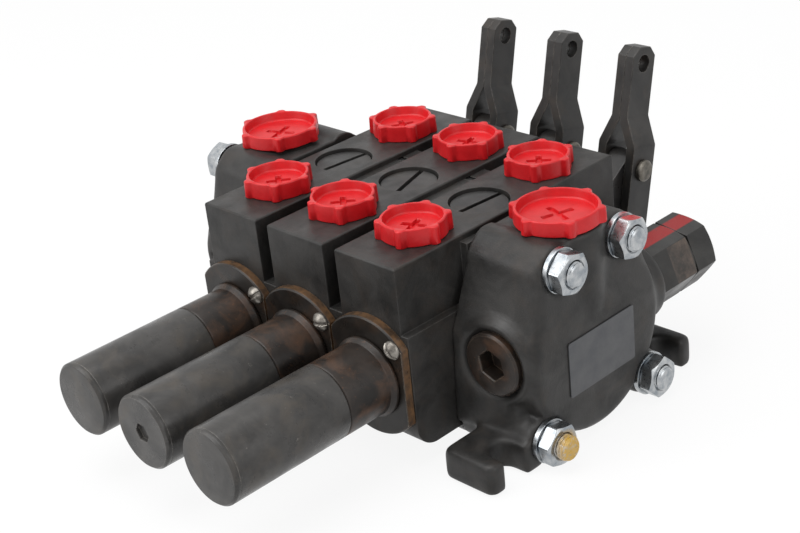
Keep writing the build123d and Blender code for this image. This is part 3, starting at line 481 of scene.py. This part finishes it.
def round_points(radii, along, axis, centre, turn=0.0):
    """Point = centre + along * axis + radius * (cos t * first + sin t * second); t goes round."""
    count = radii.shape[0]
    t = np.linspace(0, 2 * np.pi, count, endpoint=False)[:, None] + math.radians(turn)
    first, second, third = AXES[axis]
    along = np.broadcast_to(along, radii.shape)
    points = radii[..., None] * (np.cos(t)[..., None] * first + np.sin(t)[..., None] * second)
    return points + along[..., None] * third + np.asarray(centre, float)


def rounded(profile, radius, steps=4):
    """A profile with each inner corner C replaced by the curve (1-t)^2 A + 2t(1-t) C + t^2 B."""
    points = np.asarray(profile, float)
    t = np.linspace(0, 1, steps + 1)[:, None]
    parts = [points[:1]]
    for before, corner, after in zip(points[:-2], points[1:-1], points[2:]):
        back, ahead = before - corner, after - corner
        reach_back, reach_ahead = np.linalg.norm(back), np.linalg.norm(ahead)
        cut = min(radius, 0.45 * reach_back, 0.45 * reach_ahead)
        start, end = corner + back / reach_back * cut, corner + ahead / reach_ahead * cut
        parts.append((1 - t) ** 2 * start + 2 * t * (1 - t) * corner + t ** 2 * end)
    return np.concatenate(parts + [points[-1:]])


def turned_piece(name, profile, axis, centre, body, slot, replaced=(), around=96, radius=0.3):
    """A turned piece: its half profile, (radius, place along the axis), goes once round."""
    outline = rounded(profile, radius)
    radii = np.broadcast_to(outline[:, 0], (around, len(outline)))
    points = round_points(radii, outline[:, 1], axis, centre)
    return add_piece(name, points, grid_faces(around, len(outline)), body, slot, replaced)


print("stack middle", tuple(round(c / MM, 2) for c in STACK_MIDDLE), "mm")


# %% [markdown]
# The three spring housings in front are turned from bar. Each has a short brown sleeve with a
# collar against the flange, and a long cap over the detent that screws into it. What sells such
# a piece is the small stuff: a chamfer on the end, a fine groove where cap and sleeve meet, and
# the ring that a lathe tool leaves near the end. Both are one profile each, taken round the axis.

# %% Spring housings
HOUSING_RADIUS = 17.8
COLLAR_RADIUS = 19.5
COLLAR_WIDTH = 3.4
SPIGOT_RADIUS = 16.9
HOUSING_BORE = 14.3
THREAD_LENGTH = 7.0
JOINT_GROOVE = 0.55
END_CHAMFER = 1.1


def sleeve_profile(front, shoulder, back):
    """Half section of the sleeve: bore, spigot in the flange, collar, barrel and its open end."""
    collar = shoulder - COLLAR_WIDTH
    mouth = SPIGOT_RADIUS - 1.0
    return [
        (HOUSING_BORE, back), (SPIGOT_RADIUS, back), (SPIGOT_RADIUS, shoulder),
        (COLLAR_RADIUS - 0.8, shoulder), (COLLAR_RADIUS, shoulder - 0.8), (COLLAR_RADIUS, collar + 1.4),
        (COLLAR_RADIUS - 1.0, collar + 0.2), (HOUSING_RADIUS + 0.5, collar), (HOUSING_RADIUS, collar - 0.6),
        (HOUSING_RADIUS, front + JOINT_GROOVE), (HOUSING_RADIUS - 0.5, front),
        (mouth, front), (mouth, front + THREAD_LENGTH), (HOUSING_BORE, front + THREAD_LENGTH),
        (HOUSING_BORE, back),
    ]


def cap_profile(end, joint, back):
    """Half section of the cap, from the middle of its end over the barrel to its thread."""
    spigot = SPIGOT_RADIUS - 1.05
    floor = end + 5.0
    return [
        (0, end), (HOUSING_RADIUS - END_CHAMFER, end), (HOUSING_RADIUS, end + END_CHAMFER),
        (HOUSING_RADIUS, end + 2.4), (HOUSING_RADIUS - 0.18, end + 2.6), (HOUSING_RADIUS, end + 2.8),
        (HOUSING_RADIUS, joint - JOINT_GROOVE), (HOUSING_RADIUS - 0.5, joint), (spigot, joint),
        (spigot, back), (HOUSING_BORE, back), (HOUSING_BORE, floor), (0, floor),
    ]


for number in (1, 2, 3):
    axis_place = centre_of(f"detent_cap_{number}")
    centre = (axis_place.x, 0, axis_place.z)
    sleeve_front, sleeve_back = span_of(f"spring_sleeve_{number}", 1)
    cap_front, cap_back = span_of(f"detent_cap_{number}", 1)
    flange_front = span_of("front_flanges", 1)[0]
    turned_piece(
        f"sleeve_{number}", sleeve_profile(sleeve_front, flange_front, sleeve_back), "y", centre,
        "valve_body", "brown_steel", [f"spring_sleeve_{number}"],
    )
    if number != 2:
        turned_piece(
            f"cap_{number}", cap_profile(cap_front, sleeve_front, cap_back), "y", centre,
            "valve_body", "oxide_steel", [f"detent_cap_{number}"],
        )
print("housings from", round(cap_front, 1), "to", round(sleeve_back, 1))


# %% [markdown]
# The middle cap has a shallow hexagon pressed into its end. A hexagon and a circle can share one
# grid: the radius of a hexagon at turn t is its half width over flats divided by the cosine of
# the angle to the nearest flat, so the inner rings are hexagons and the outer ones are circles.

# %% Hexagon helper and the middle cap
def hexagon_radius(around, flats, turn=0.0):
    """Radius of a hexagon at each turn: half the flats / cos(angle to the nearest flat)."""
    t = np.linspace(0, 2 * np.pi, around, endpoint=False) - math.radians(turn)
    return flats / 2 / np.cos((t + np.pi / 6) % (np.pi / 3) - np.pi / 6)


SOCKET_FLATS = 8.0
SOCKET_DEPTH = 2.0
AROUND = 96


def ringed_piece(name, rings, axis, centre, body, slot, replaced=(), sharp=SHARP_ANGLE):
    """A closed piece from rings, each one a (radius or radii, place or places along the axis)."""
    radii = np.stack([np.broadcast_to(radius, AROUND) for radius, place in rings], axis=1)
    places = np.stack([np.broadcast_to(place, AROUND) for radius, place in rings], axis=1)
    points = round_points(radii, places, axis, centre)
    return add_piece(name, points, grid_faces(AROUND, len(rings)), body, slot, replaced, sharp)


axis_place = centre_of("detent_cap_2")
cap_front, cap_back = span_of("detent_cap_2", 1)
socket = hexagon_radius(AROUND, SOCKET_FLATS)
socket_rings = [(0, cap_front + SOCKET_DEPTH), (socket, cap_front + SOCKET_DEPTH), (socket, cap_front + 0.25)]
socket_rings += [(socket + 0.25, cap_front)]
outline = rounded(cap_profile(cap_front, span_of("spring_sleeve_2", 1)[0], cap_back)[1:], 0.3)
ringed_piece(
    "cap_2", socket_rings + [tuple(point) for point in outline], "y", (axis_place.x, 0, axis_place.z),
    "valve_body", "oxide_steel", ["detent_cap_2"],
)
print("middle cap socket", SOCKET_FLATS, "mm over flats")


# %% [markdown]
# Machined pieces keep their CAD form, but no real edge is a knife. A copy of each one gets its
# flat triangles joined, so that the bevel runs along whole edges, and every edge sharper than a
# limit is rounded by a few tenths of a millimetre. It catches the light as a thin line. A
# weighted normal modifier keeps the flats flat to the eye, so that only the edges shade round.

# %% Rounded copies of the machined pieces
JOIN_ANGLE = 0.6
BEVEL_ANGLE = 38.0


def finish_mesh(work, mesh, sharp):
    """Writes a bmesh into a mesh with outward faces and smooth shading up to an angle."""
    bmesh.ops.recalc_face_normals(work, faces=work.faces)
    work.to_mesh(mesh)
    work.free()
    mesh.shade_smooth()
    mesh.set_sharp_from_angle(angle=math.radians(sharp))


def show_instead(node, mesh, name, slot=None):
    """Shows a mesh instead of a CAD node, on the same body and in the same slot."""
    slot = slot or slot_of[node]
    piece = bpy.data.objects.new(name, mesh)
    mesh.materials.clear()
    mesh.materials.append(finishes[dressed_in.get(node, slot)])
    scene.collection.objects.link(piece)
    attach(piece, body_of[node])
    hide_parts(node)
    return piece


def rounded_copy(node, width, angle=BEVEL_ANGLE, join=True):
    """A CAD node's copy with its sharp edges rounded by a width in millimetres."""
    work = bmesh.new()
    work.from_mesh(nodes[node].data)
    bmesh.ops.remove_doubles(work, verts=work.verts, dist=MERGE_DISTANCE)
    if join:
        bmesh.ops.dissolve_limit(work, angle_limit=math.radians(JOIN_ANGLE), verts=work.verts, edges=work.edges)
    limit = math.radians(angle)
    edges = [edge for edge in work.edges if len(edge.link_faces) == 2 and edge.calc_face_angle() > limit]
    bmesh.ops.bevel(
        work, geom=edges, offset=width * MM, offset_type="OFFSET", segments=2, profile=0.5,
        affect="EDGES", clamp_overlap=False,
    )
    mesh = bpy.data.meshes.new(f"{node}_rounded")
    finish_mesh(work, mesh, SHARP_ANGLE)
    piece = show_instead(node, mesh, f"{node}_rounded")
    even = piece.modifiers.new("even_flats", "WEIGHTED_NORMAL")
    even.keep_sharp = True
    return piece


edge_widths = {"relief_body": 0.35, "relief_cap": 0.35, "label_plate": 0.12, "tie_washers": 0.25}
for number in (1, 2, 3):
    edge_widths.update({
        f"section_body_{number}": 0.35, f"lever_plates_{number}": 0.4, f"lever_bracket_{number}": 0.4,
        f"lever_pins_{number}": 0.3, f"check_plug_{number}": 0.2,
    })
for node, width in edge_widths.items():
    rounded_copy(node, width)
rounded_copy("front_flanges", 0.3, join=False)
print("rounded copies", len(edge_widths) + 1)


# %% [markdown]
# The covers are castings, and a casting has no sharp edge outside and no sharp corner inside. The
# copy of each cover is remeshed into even squares, and then its points are relaxed: each one
# moves part of the way to the middle of its neighbours, over and over. That rounds what stands
# out and fills what is hollow, like the sand mould did. On the mating face, which was machined,
# the points stay where they are.

# %% Cast covers
CAST_GRID = 0.82
CAST_PASSES = 26
CAST_STEP = 0.5
MATING_BAND = 1.2


def relaxed(points, edges, weights, passes):
    """Repeats p += step * weight * (mean of the neighbours - p)."""
    count = len(points)
    first, second = np.concatenate([edges, edges[:, ::-1]]).T
    degree = np.maximum(np.bincount(first, minlength=count), 1)
    for _ in range(passes):
        mean = np.stack([np.bincount(first, points[second, k], count) for k in range(3)], axis=1)
        points = points + (CAST_STEP * weights)[:, None] * (mean / degree[:, None] - points)
    return points


def cast_copy(node, side):
    """A cover's copy with cast edges and corners; side is the end of the stack that it closes."""
    source = nodes[node].data.copy()
    shell = bpy.data.objects.new(f"{node}_cast", source)
    scene.collection.objects.link(shell)
    even = shell.modifiers.new("even", "REMESH")
    even.mode = "VOXEL"
    even.voxel_size = CAST_GRID * MM
    mesh = bpy.data.meshes.new_from_object(shell.evaluated_get(bpy.context.evaluated_depsgraph_get()))
    bpy.data.objects.remove(shell)
    points = np.empty(len(mesh.vertices) * 3)
    mesh.vertices.foreach_get("co", points)
    points = points.reshape(-1, 3)
    edges = np.empty(len(mesh.edges) * 2, int)
    mesh.edges.foreach_get("vertices", edges)
    outward = (points[:, 0] - STACK_MIDDLE.x) * side / MM
    mating = span_of(node, 0)[0] if side > 0 else -span_of(node, 0)[1]
    weights = np.where(outward < mating + MATING_BAND, 0.0, 1.0)
    points = relaxed(points, edges.reshape(-1, 2), weights, CAST_PASSES)
    mesh.vertices.foreach_set("co", points.ravel())
    mesh.update()
    mesh.shade_smooth()
    return show_instead(node, mesh, f"{node}_cast")


for node, side in (("inlet_cover", 1), ("outlet_cover", -1)):
    piece = cast_copy(node, side)
    print(node, "faces", len(piece.data.polygons))


# %% [markdown]
# The red caps close the ports for transport. Each is moulded in one piece: a recessed floor with
# a cross, a rim with six nibs for the fingers, and a hollow plug in the port. The whole cap is one
# polar grid. Its outer radius swells at each nib as exp(-(s / w)^4), where s is the distance along
# the rim from the nib's middle, and the cross is a dip in the floor's height.

# %% Port caps
CAP_AROUND = 144
NIB_COUNT = 6
NIB_HALF_WIDTH = 2.1
NIB_REACH = 2.2
RIM_FLATTENING = 0.15
RIM_TOP_WIDTH = 1.5
RECESS_DEPTH = 4.4
RECESS_SLOPE = 0.8
CROSS_HALF_WIDTH = 1.15
CROSS_DEPTH = 1.7
CROSS_EDGE = 0.35
PLUG_WALL = 2.4
CAP_UNDERSIDE = 1.6


def smooth_step(value, edge):
    """1 below 0, falling to 0 over a width edge, as 1 - t^2 (3 - 2t)."""
    t = np.clip(value / edge, 0, 1)
    return 1 - t ** 2 * (3 - 2 * t)


def cap_points(centre, base, height, tip_radius, plug_radius, plug_depth, turn, cross_reach, cross_turn):
    """The rings of one cap, from the middle of its floor over the rim to the middle underneath."""
    t = np.linspace(0, 2 * np.pi, CAP_AROUND, endpoint=False)
    rim = tip_radius - NIB_REACH
    spacing = 2 * np.pi / NIB_COUNT
    off_nib = (t - math.radians(turn) + spacing / 2) % spacing - spacing / 2
    nib = np.exp(-(off_nib * rim / NIB_HALF_WIDTH) ** 4)
    between = (1 - np.cos(off_nib * NIB_COUNT)) / 2
    outer = rim + NIB_REACH * nib - RIM_FLATTENING * between
    top = base + height
    floor = top - RECESS_DEPTH
    inner_top = rim - RIM_TOP_WIDTH
    inner_floor = inner_top - RECESS_SLOPE
    rings = []
    for radius in np.concatenate([np.arange(0, cross_reach + 1, 0.35), [inner_floor - 1.2, inner_floor - 0.4]]):
        along = radius * np.cos(t - math.radians(cross_turn))
        across = radius * np.sin(t - math.radians(cross_turn))
        dip = np.zeros_like(t)
        for long_way, short_way in ((along, across), (across, along)):
            arm = smooth_step(np.abs(short_way) - CROSS_HALF_WIDTH, CROSS_EDGE)
            arm = arm * smooth_step(np.abs(long_way) - cross_reach + CROSS_EDGE, CROSS_EDGE)
            dip = np.maximum(dip, arm)
        rings.append((np.full_like(t, radius), floor - CROSS_DEPTH * dip))
    flat = [
        (inner_floor, floor + 0.35), (inner_floor + 0.2, floor + 0.9), (inner_top - 0.15, top - 0.7),
        (inner_top + 0.05, top - 0.2), (inner_top + 0.45, top),
    ]
    rings += [(np.full_like(t, radius), np.full_like(t, place)) for radius, place in flat]
    for inset, drop in ((0.9, 0.0), (0.35, 0.12), (0.08, 0.4), (0.0, 0.9), (-0.12, height / 2), (-0.25, height - 0.5)):
        rings.append((outer - inset, np.full_like(t, top - drop)))
    rings.append((outer - 0.3, np.full_like(t, base)))
    bore = plug_radius - PLUG_WALL
    below = [
        (plug_radius, base), (plug_radius, base - plug_depth), (bore, base - plug_depth),
        (bore, base + CAP_UNDERSIDE), (0, base + CAP_UNDERSIDE),
    ]
    rings += [(np.full_like(t, radius), np.full_like(t, place)) for radius, place in below]
    radii = np.stack([ring[0] for ring in rings], axis=1)
    places = np.stack([ring[1] for ring in rings], axis=1)
    return round_points(radii, places, "z", (centre[0], centre[1], 0)), len(rings)


def cap_group(name, node, caps, height, tip_radius, plug_radius, plug_depth, cross_reach):
    """All caps of one size as one piece; caps lists each one's centre, base, turn and cross turn."""
    vertices, faces = [], []
    for centre, base, turn, cross_turn in caps:
        points, rings = cap_points(
            centre, base, height, tip_radius, plug_radius, plug_depth, turn, cross_reach, cross_turn
        )
        faces.append(grid_faces(CAP_AROUND, rings) + sum(len(part) for part in vertices))
        vertices.append(points.reshape(-1, 3))
    return add_piece(
        name, np.concatenate(vertices), np.concatenate(faces), "valve_body", "red_plastic", [node], 40.0
    )


low_x, high_x = span_of("port_caps", 0)
low_y, high_y = span_of("port_caps", 1)
low_z, high_z = span_of("port_caps", 2)
TIP_RADIUS = (high_x - low_x - 2 * (centre_of("section_body_3").x - centre_of("section_body_2").x)) / 2
PORT_RADIUS = 10.4
PLUG_DEPTH = 10.0
CAP_TURNS = {(1, -1): 14.0, (2, -1): 12.0, (3, -1): 52.0, (1, 1): 33.0, (2, 1): 41.0, (3, 1): 4.0}
CROSS_TURNS = {(1, -1): 50.0, (2, -1): 48.0, (3, -1): 20.0, (1, 1): 60.0, (2, 1): 15.0, (3, 1): 40.0}
port_y = high_y - TIP_RADIUS
small_caps = []
for (number, side), turn in CAP_TURNS.items():
    centre = (centre_of(f"section_body_{number}").x, side * port_y)
    small_caps.append((centre, low_z + PLUG_DEPTH, turn, CROSS_TURNS[number, side]))
cap_height = high_z - low_z - PLUG_DEPTH
cap_group("red_caps", "port_caps", small_caps, cap_height, TIP_RADIUS, PORT_RADIUS, PLUG_DEPTH, 6.0)

low_y, high_y = span_of("main_port_caps", 1)
low_z, high_z = span_of("main_port_caps", 2)
MAIN_TIP_RADIUS = (high_y - low_y) / 2
MAIN_PORT_RADIUS = 13.1
MAIN_PLUG_DEPTH = 12.0
main_x = span_of("main_port_caps", 0)[1] - MAIN_TIP_RADIUS
main_caps = [
    ((main_x, 0), low_z + MAIN_PLUG_DEPTH, 27.0, 70.0), ((-main_x, 0), low_z + MAIN_PLUG_DEPTH, 17.0, 20.0),
]
main_height = high_z - low_z - MAIN_PLUG_DEPTH
cap_group(
    "large_red_caps", "main_port_caps", main_caps, main_height, MAIN_TIP_RADIUS, MAIN_PORT_RADIUS,
    MAIN_PLUG_DEPTH, 8.0,
)
print("caps", len(small_caps) + len(main_caps), "tip radii", round(TIP_RADIUS, 1), round(MAIN_TIP_RADIUS, 1))


# %% [markdown]
# The tie bolts are the brightest things on the valve, so their shape must be right. A nut's
# corners are turned off by a cone of 30 degrees, which leaves the curved edges that every nut
# has: its face drops as (r - r_face) tan 30 outside the face's circle. The bolt's end is a
# thread, a radius that steps with the turn and the place along the axis together.

# %% Nuts and bolts
NUT_FLATS = 18.0
FACE_SHARE = 0.97
CORNER_SHARE = 0.985
THREAD_RADIUS = 5.95
THREAD_DEPTH = 0.62
THREAD_PITCH = 1.75
THREAD_STEP = 0.2
THREAD_END = 1.1
NUT_TURNS = (14.0, 18.0, 16.0, 46.0)
nut_low, nut_high = span_of("tie_nuts", 0)


def hexagon_side(turn):
    """A hexagon's radii with its corners blunted."""
    corner = NUT_FLATS / math.sqrt(3) * CORNER_SHARE
    return np.minimum(hexagon_radius(AROUND, NUT_FLATS, turn), corner)


def faced_rings(face, back, turn, sign):
    """Rings of a hexagon from one face to the other, with both faces turned off at 30 degrees."""
    side = hexagon_side(turn)
    circle = NUT_FLATS / 2 * FACE_SHARE
    drop = (side - circle) * math.tan(math.radians(30))
    return [
        (circle, face), (side - 0.12, face - sign * (drop - 0.05)), (side, face - sign * (drop + 0.12)),
        (side, back + sign * (drop + 0.12)), (side - 0.12, back + sign * (drop - 0.05)), (circle, back),
    ]


def rings_mesh(groups):
    """Joins several ringed pieces, each (rings, centre), into points and faces along X."""
    vertices, faces, start = [], [], 0
    for rings, centre in groups:
        radii = np.stack([np.broadcast_to(radius, AROUND) for radius, place in rings], axis=1)
        places = np.stack([np.broadcast_to(place, AROUND) for radius, place in rings], axis=1)
        points = round_points(radii, places, "x", centre).reshape(-1, 3)
        vertices.append(points)
        faces.append(grid_faces(AROUND, len(rings)) + start)
        start += len(points)
    return np.concatenate(vertices), np.concatenate(faces)


def islands(node):
    """The boxes of a node's separate solids, in millimetres from the middle of the stack."""
    work = bmesh.new()
    work.from_mesh(nodes[node].data)
    bmesh.ops.remove_doubles(work, verts=work.verts, dist=MERGE_DISTANCE)
    left, boxes = set(work.verts), []
    while left:
        group, heap = [], [left.pop()]
        while heap:
            vertex = heap.pop()
            group.append(vertex.co)
            for edge in vertex.link_edges:
                other = edge.other_vert(vertex)
                if other in left:
                    left.remove(other)
                    heap.append(other)
        points = (np.array(group) - np.array(STACK_MIDDLE)) / MM
        boxes.append((points.min(axis=0), points.max(axis=0)))
    work.free()
    return boxes


def tie_order(bounds):
    """Sorts the ties as upper front, upper rear, lower front, lower rear."""
    middle = (bounds[0] + bounds[1]) / 2
    return (-round(middle[2]), round(middle[1]))


nut_groups, bolt_groups = [], []
nut_boxes = sorted(islands("tie_nuts"), key=tie_order)
bolt_boxes = sorted(islands("tie_bolts"), key=tie_order)
for (nut_from, nut_to), (bolt_from, bolt_to), turn in zip(nut_boxes, bolt_boxes, NUT_TURNS):
    middle = (bolt_from + bolt_to) / 2
    centre = (0, middle[1], middle[2])
    bore = THREAD_RADIUS + 0.05
    rings = [(bore, nut_to[0] - 0.7), (bore + 0.7, nut_to[0])] + faced_rings(nut_to[0], nut_from[0], turn, 1)
    rings += [(bore, nut_from[0]), (bore, nut_to[0] - 0.7)]
    nut_groups.append((rings, centre))
    head_back = bolt_from[0] + 7.7
    rings = [(0, bolt_from[0])] + faced_rings(bolt_from[0], head_back, 0.0, -1)
    rings += [(THREAD_RADIUS, head_back), (THREAD_RADIUS, nut_from[0])]
    t = np.linspace(0, 1, AROUND, endpoint=False)
    for place in np.arange(nut_from[0] + THREAD_STEP, bolt_to[0] + THREAD_STEP / 2, THREAD_STEP):
        phase = (place / THREAD_PITCH - t) % 1
        groove = THREAD_DEPTH * np.clip(1.25 - 2.5 * np.abs(phase - 0.5), 0, 1)
        blunt = np.maximum(0, place - (bolt_to[0] - THREAD_END))
        rings.append((np.minimum(THREAD_RADIUS - groove, THREAD_RADIUS - blunt), place))
    rings += [(THREAD_RADIUS - THREAD_END - 0.5, bolt_to[0]), (0, bolt_to[0])]
    bolt_groups.append((rings, centre))
add_piece("zinc_nuts", *rings_mesh(nut_groups), "valve_body", "zinc_steel", ["tie_nuts"], 17.0)
add_piece("zinc_bolts", *rings_mesh(bolt_groups), "valve_body", "zinc_steel", ["tie_bolts"], 30.0)
rear_nut = sum(nut_boxes[1]) / 2 * MM + np.array(STACK_MIDDLE)
nut_top = rear_nut + np.array((0.0, math.cos(math.radians(NUT_TURNS[1] + 60)), math.sin(math.radians(NUT_TURNS[1] + 60)))) * NUT_FLATS / 2 * MM


def nut_dab(tree, place):
    """The red dab on the top flat of the rear upper nut."""
    up = tuple((nut_top - rear_nut) / np.linalg.norm(nut_top - rear_nut))
    patch = multiply(tree, near(tree, place, nut_top, 0.0040), facing(tree, up, 0.85, 0.93))
    return multiply(tree, patch, worn(tree, place))


lay_over(finishes["zinc_steel"], (0.42, 0.014, 0.014), nut_dab, dull=True)
print("nuts", len(nut_groups), "bolts end at", [round(float(high[0]), 1) for low, high in bolt_boxes])


# %% [markdown]
# Two more turned things show close up: the plug in the front boss, with its hexagon socket and a
# bright worn edge, and the round headed screws of the flanges. A screw's head is part of a
# sphere with a slot, so it is a polar grid again, with the slot as a dip.

# %% Front plug and flange screws
PLUG_SOCKET = 13.0
SOCKET_BOTTOM = 8.0
SOCKET_BEVEL = 0.6
HEAD_RINGS = 12
HEAD_RADIUS = 4.4
HEAD_HEIGHT = 3.2
HEAD_SLOT_HALF = 0.6
HEAD_SLOT_DEPTH = 0.9
SHANK_RADIUS = 2.95

plug_middle = centre_of("front_plug")
plug_front, plug_back = span_of("front_plug", 1)
plug_radius = (span_of("front_plug", 0)[1] - span_of("front_plug", 0)[0]) / 2
plug_socket = hexagon_radius(AROUND, PLUG_SOCKET, 20.0)
plug_rings = [
    (0, plug_front + SOCKET_BOTTOM), (plug_socket, plug_front + SOCKET_BOTTOM),
    (plug_socket, plug_front + SOCKET_BEVEL), (plug_socket + SOCKET_BEVEL / 2, plug_front + 0.1),
    (plug_socket + SOCKET_BEVEL, plug_front), (plug_radius - 1.1, plug_front),
    (plug_radius - 0.9, plug_front + 0.05), (plug_radius - 0.1, plug_front + 0.8),
    (plug_radius, plug_front + 1.0), (plug_radius, plug_front + 3.7), (plug_radius - 1.7, plug_front + 3.7),
    (plug_radius - 1.7, plug_back), (0, plug_back),
]
ringed_piece(
    "socket_plug", plug_rings, "y", (plug_middle.x, 0, plug_middle.z), "valve_body", "brown_steel",
    ["front_plug"], 25.0,
)


def screw_points(bounds, side, turn):
    """One round headed screw: head height = H (1 - (r / R)^2.6), less the slot."""
    middle = (bounds[0] + bounds[1]) / 2
    tip = bounds[1][1] if side > 0 else bounds[0][1]
    end = bounds[0][1] if side > 0 else bounds[1][1]
    t = np.linspace(0, 2 * np.pi, AROUND, endpoint=False)
    seat = tip - side * HEAD_HEIGHT
    rings = []
    for radius in np.linspace(0, HEAD_RADIUS, HEAD_RINGS):
        across = np.abs(radius * np.sin(t - math.radians(turn)))
        slot = HEAD_SLOT_DEPTH * smooth_step(across - HEAD_SLOT_HALF, 0.3)
        rise = HEAD_HEIGHT * (1 - 0.72 * (radius / HEAD_RADIUS) ** 2.6)
        rings.append((radius, seat + side * np.maximum(rise - slot, 0.2)))
    rings += [(HEAD_RADIUS, seat), (SHANK_RADIUS, seat), (SHANK_RADIUS, end), (0, end)]
    radii = np.stack([np.broadcast_to(radius, AROUND) for radius, place in rings], axis=1)
    places = np.stack([np.broadcast_to(place, AROUND) for radius, place in rings], axis=1)
    return round_points(radii, places, "y", (middle[0], 0, middle[2])).reshape(-1, 3), len(rings)


for node, side in (("flange_screws", -1), ("bracket_screws", 1)):
    vertices, faces, start = [], [], 0
    for index, bounds in enumerate(islands(node)):
        points, rings = screw_points(bounds, side, 35.0 + 50.0 * index)
        vertices.append(points)
        faces.append(grid_faces(AROUND, rings) + start)
        start += len(points)
    add_piece(
        f"{node}_round", np.concatenate(vertices), np.concatenate(faces), "valve_body", "grey_steel", [node], 40.0
    )
print("plug and screws ready")


# %% [markdown]
# The studio is a pale floor, a soft world and three large lamps. The photograph has a pure white
# ground, so the camera sees the floor partly as white light, while everything else sees plain
# paper: the shadow stays, and no extra light falls on the valve.

# %% Floor, world and lamps
FLOOR_SIZE = 8.0
FLOOR_DROP = 0.0002
WORLD_LEVEL = 0.42
FLOOR_WHITE_SHARE = 0.9


def seen_rays(tree):
    """1 for rays from the camera, or from a glossy or a clear surface, and 0 for the others."""
    path = put(tree, "ShaderNodeLightPath")
    pair = put(
        tree, "ShaderNodeMath", {"operation": "ADD", "use_clamp": True},
        i0=path.outputs["Is Camera Ray"], i1=path.outputs["Is Glossy Ray"],
    ).outputs[0]
    return put(
        tree, "ShaderNodeMath", {"operation": "ADD", "use_clamp": True},
        i0=pair, i1=path.outputs["Is Transmission Ray"],
    ).outputs[0]


def floor_finish():
    """White paper that the camera, and mirrors, see as mostly white light."""
    material, tree, shader, place = start_finish("paper")
    tree.nodes.remove(shader)
    paper = put(tree, "ShaderNodeBsdfDiffuse", Color=rgb(0.86, 0.86, 0.86)).outputs["BSDF"]
    glow = put(tree, "ShaderNodeEmission", Color=rgb(1, 1, 1), Strength=1.0).outputs["Emission"]
    share = multiply(tree, seen_rays(tree), FLOOR_WHITE_SHARE)
    mixed = put(tree, "ShaderNodeMixShader", Fac=share, i1=paper, i2=glow).outputs[0]
    output = next(node for node in tree.nodes if node.type == "OUTPUT_MATERIAL")
    tree.links.new(mixed, output.inputs["Surface"])
    return material


def white_world():
    """An even grey world that the camera and mirrors see as white."""
    world = bpy.data.worlds.new("studio")
    world.use_nodes = True
    tree = world.node_tree
    tree.nodes.clear()
    level = ramp(tree, seen_rays(tree), 0.0, 1.0, WORLD_LEVEL, 1.0)
    ground = put(tree, "ShaderNodeBackground", Color=rgb(1, 1, 1), Strength=level)
    put(tree, "ShaderNodeOutputWorld", Surface=ground.outputs["Background"])
    return world


def lamp(name, place, target, size, power):
    """A square area lamp that faces its target."""
    data = bpy.data.lights.new(name, "AREA")
    data.size = size
    data.energy = power
    lamp_object = bpy.data.objects.new(name, data)
    lamp_object.location = place
    lamp_object.rotation_euler = (Vector(place) - Vector(target)).to_track_quat("Z", "Y").to_euler()
    scene.collection.objects.link(lamp_object)
    return lamp_object


floor_mesh = bpy.data.meshes.new("floor")
half = FLOOR_SIZE / 2
floor_mesh.from_pydata(
    [(x * half, y * half, -FLOOR_DROP) for x, y in ((-1, -1), (1, -1), (1, 1), (-1, 1))], [], [(0, 1, 2, 3)]
)
floor = bpy.data.objects.new("floor", floor_mesh)
floor.data.materials.append(floor_finish())
scene.collection.objects.link(floor)
scene.world = white_world()
middle = (0.0, 0.0, 0.05)
lamp("top_lamp", (-0.15, -0.25, 1.4), middle, 1.2, 17.0)
lamp("left_lamp", (-0.7, -1.3, 0.9), middle, 1.0, 12.0)
lamp("right_lamp", (1.5, 0.1, 0.8), middle, 1.0, 6.0)
print("studio ready")


# %% [markdown]
# The view transform is the plain one, so that a colour renders about as it is written.

# %% Finish
scene.view_settings.view_transform = "Standard"
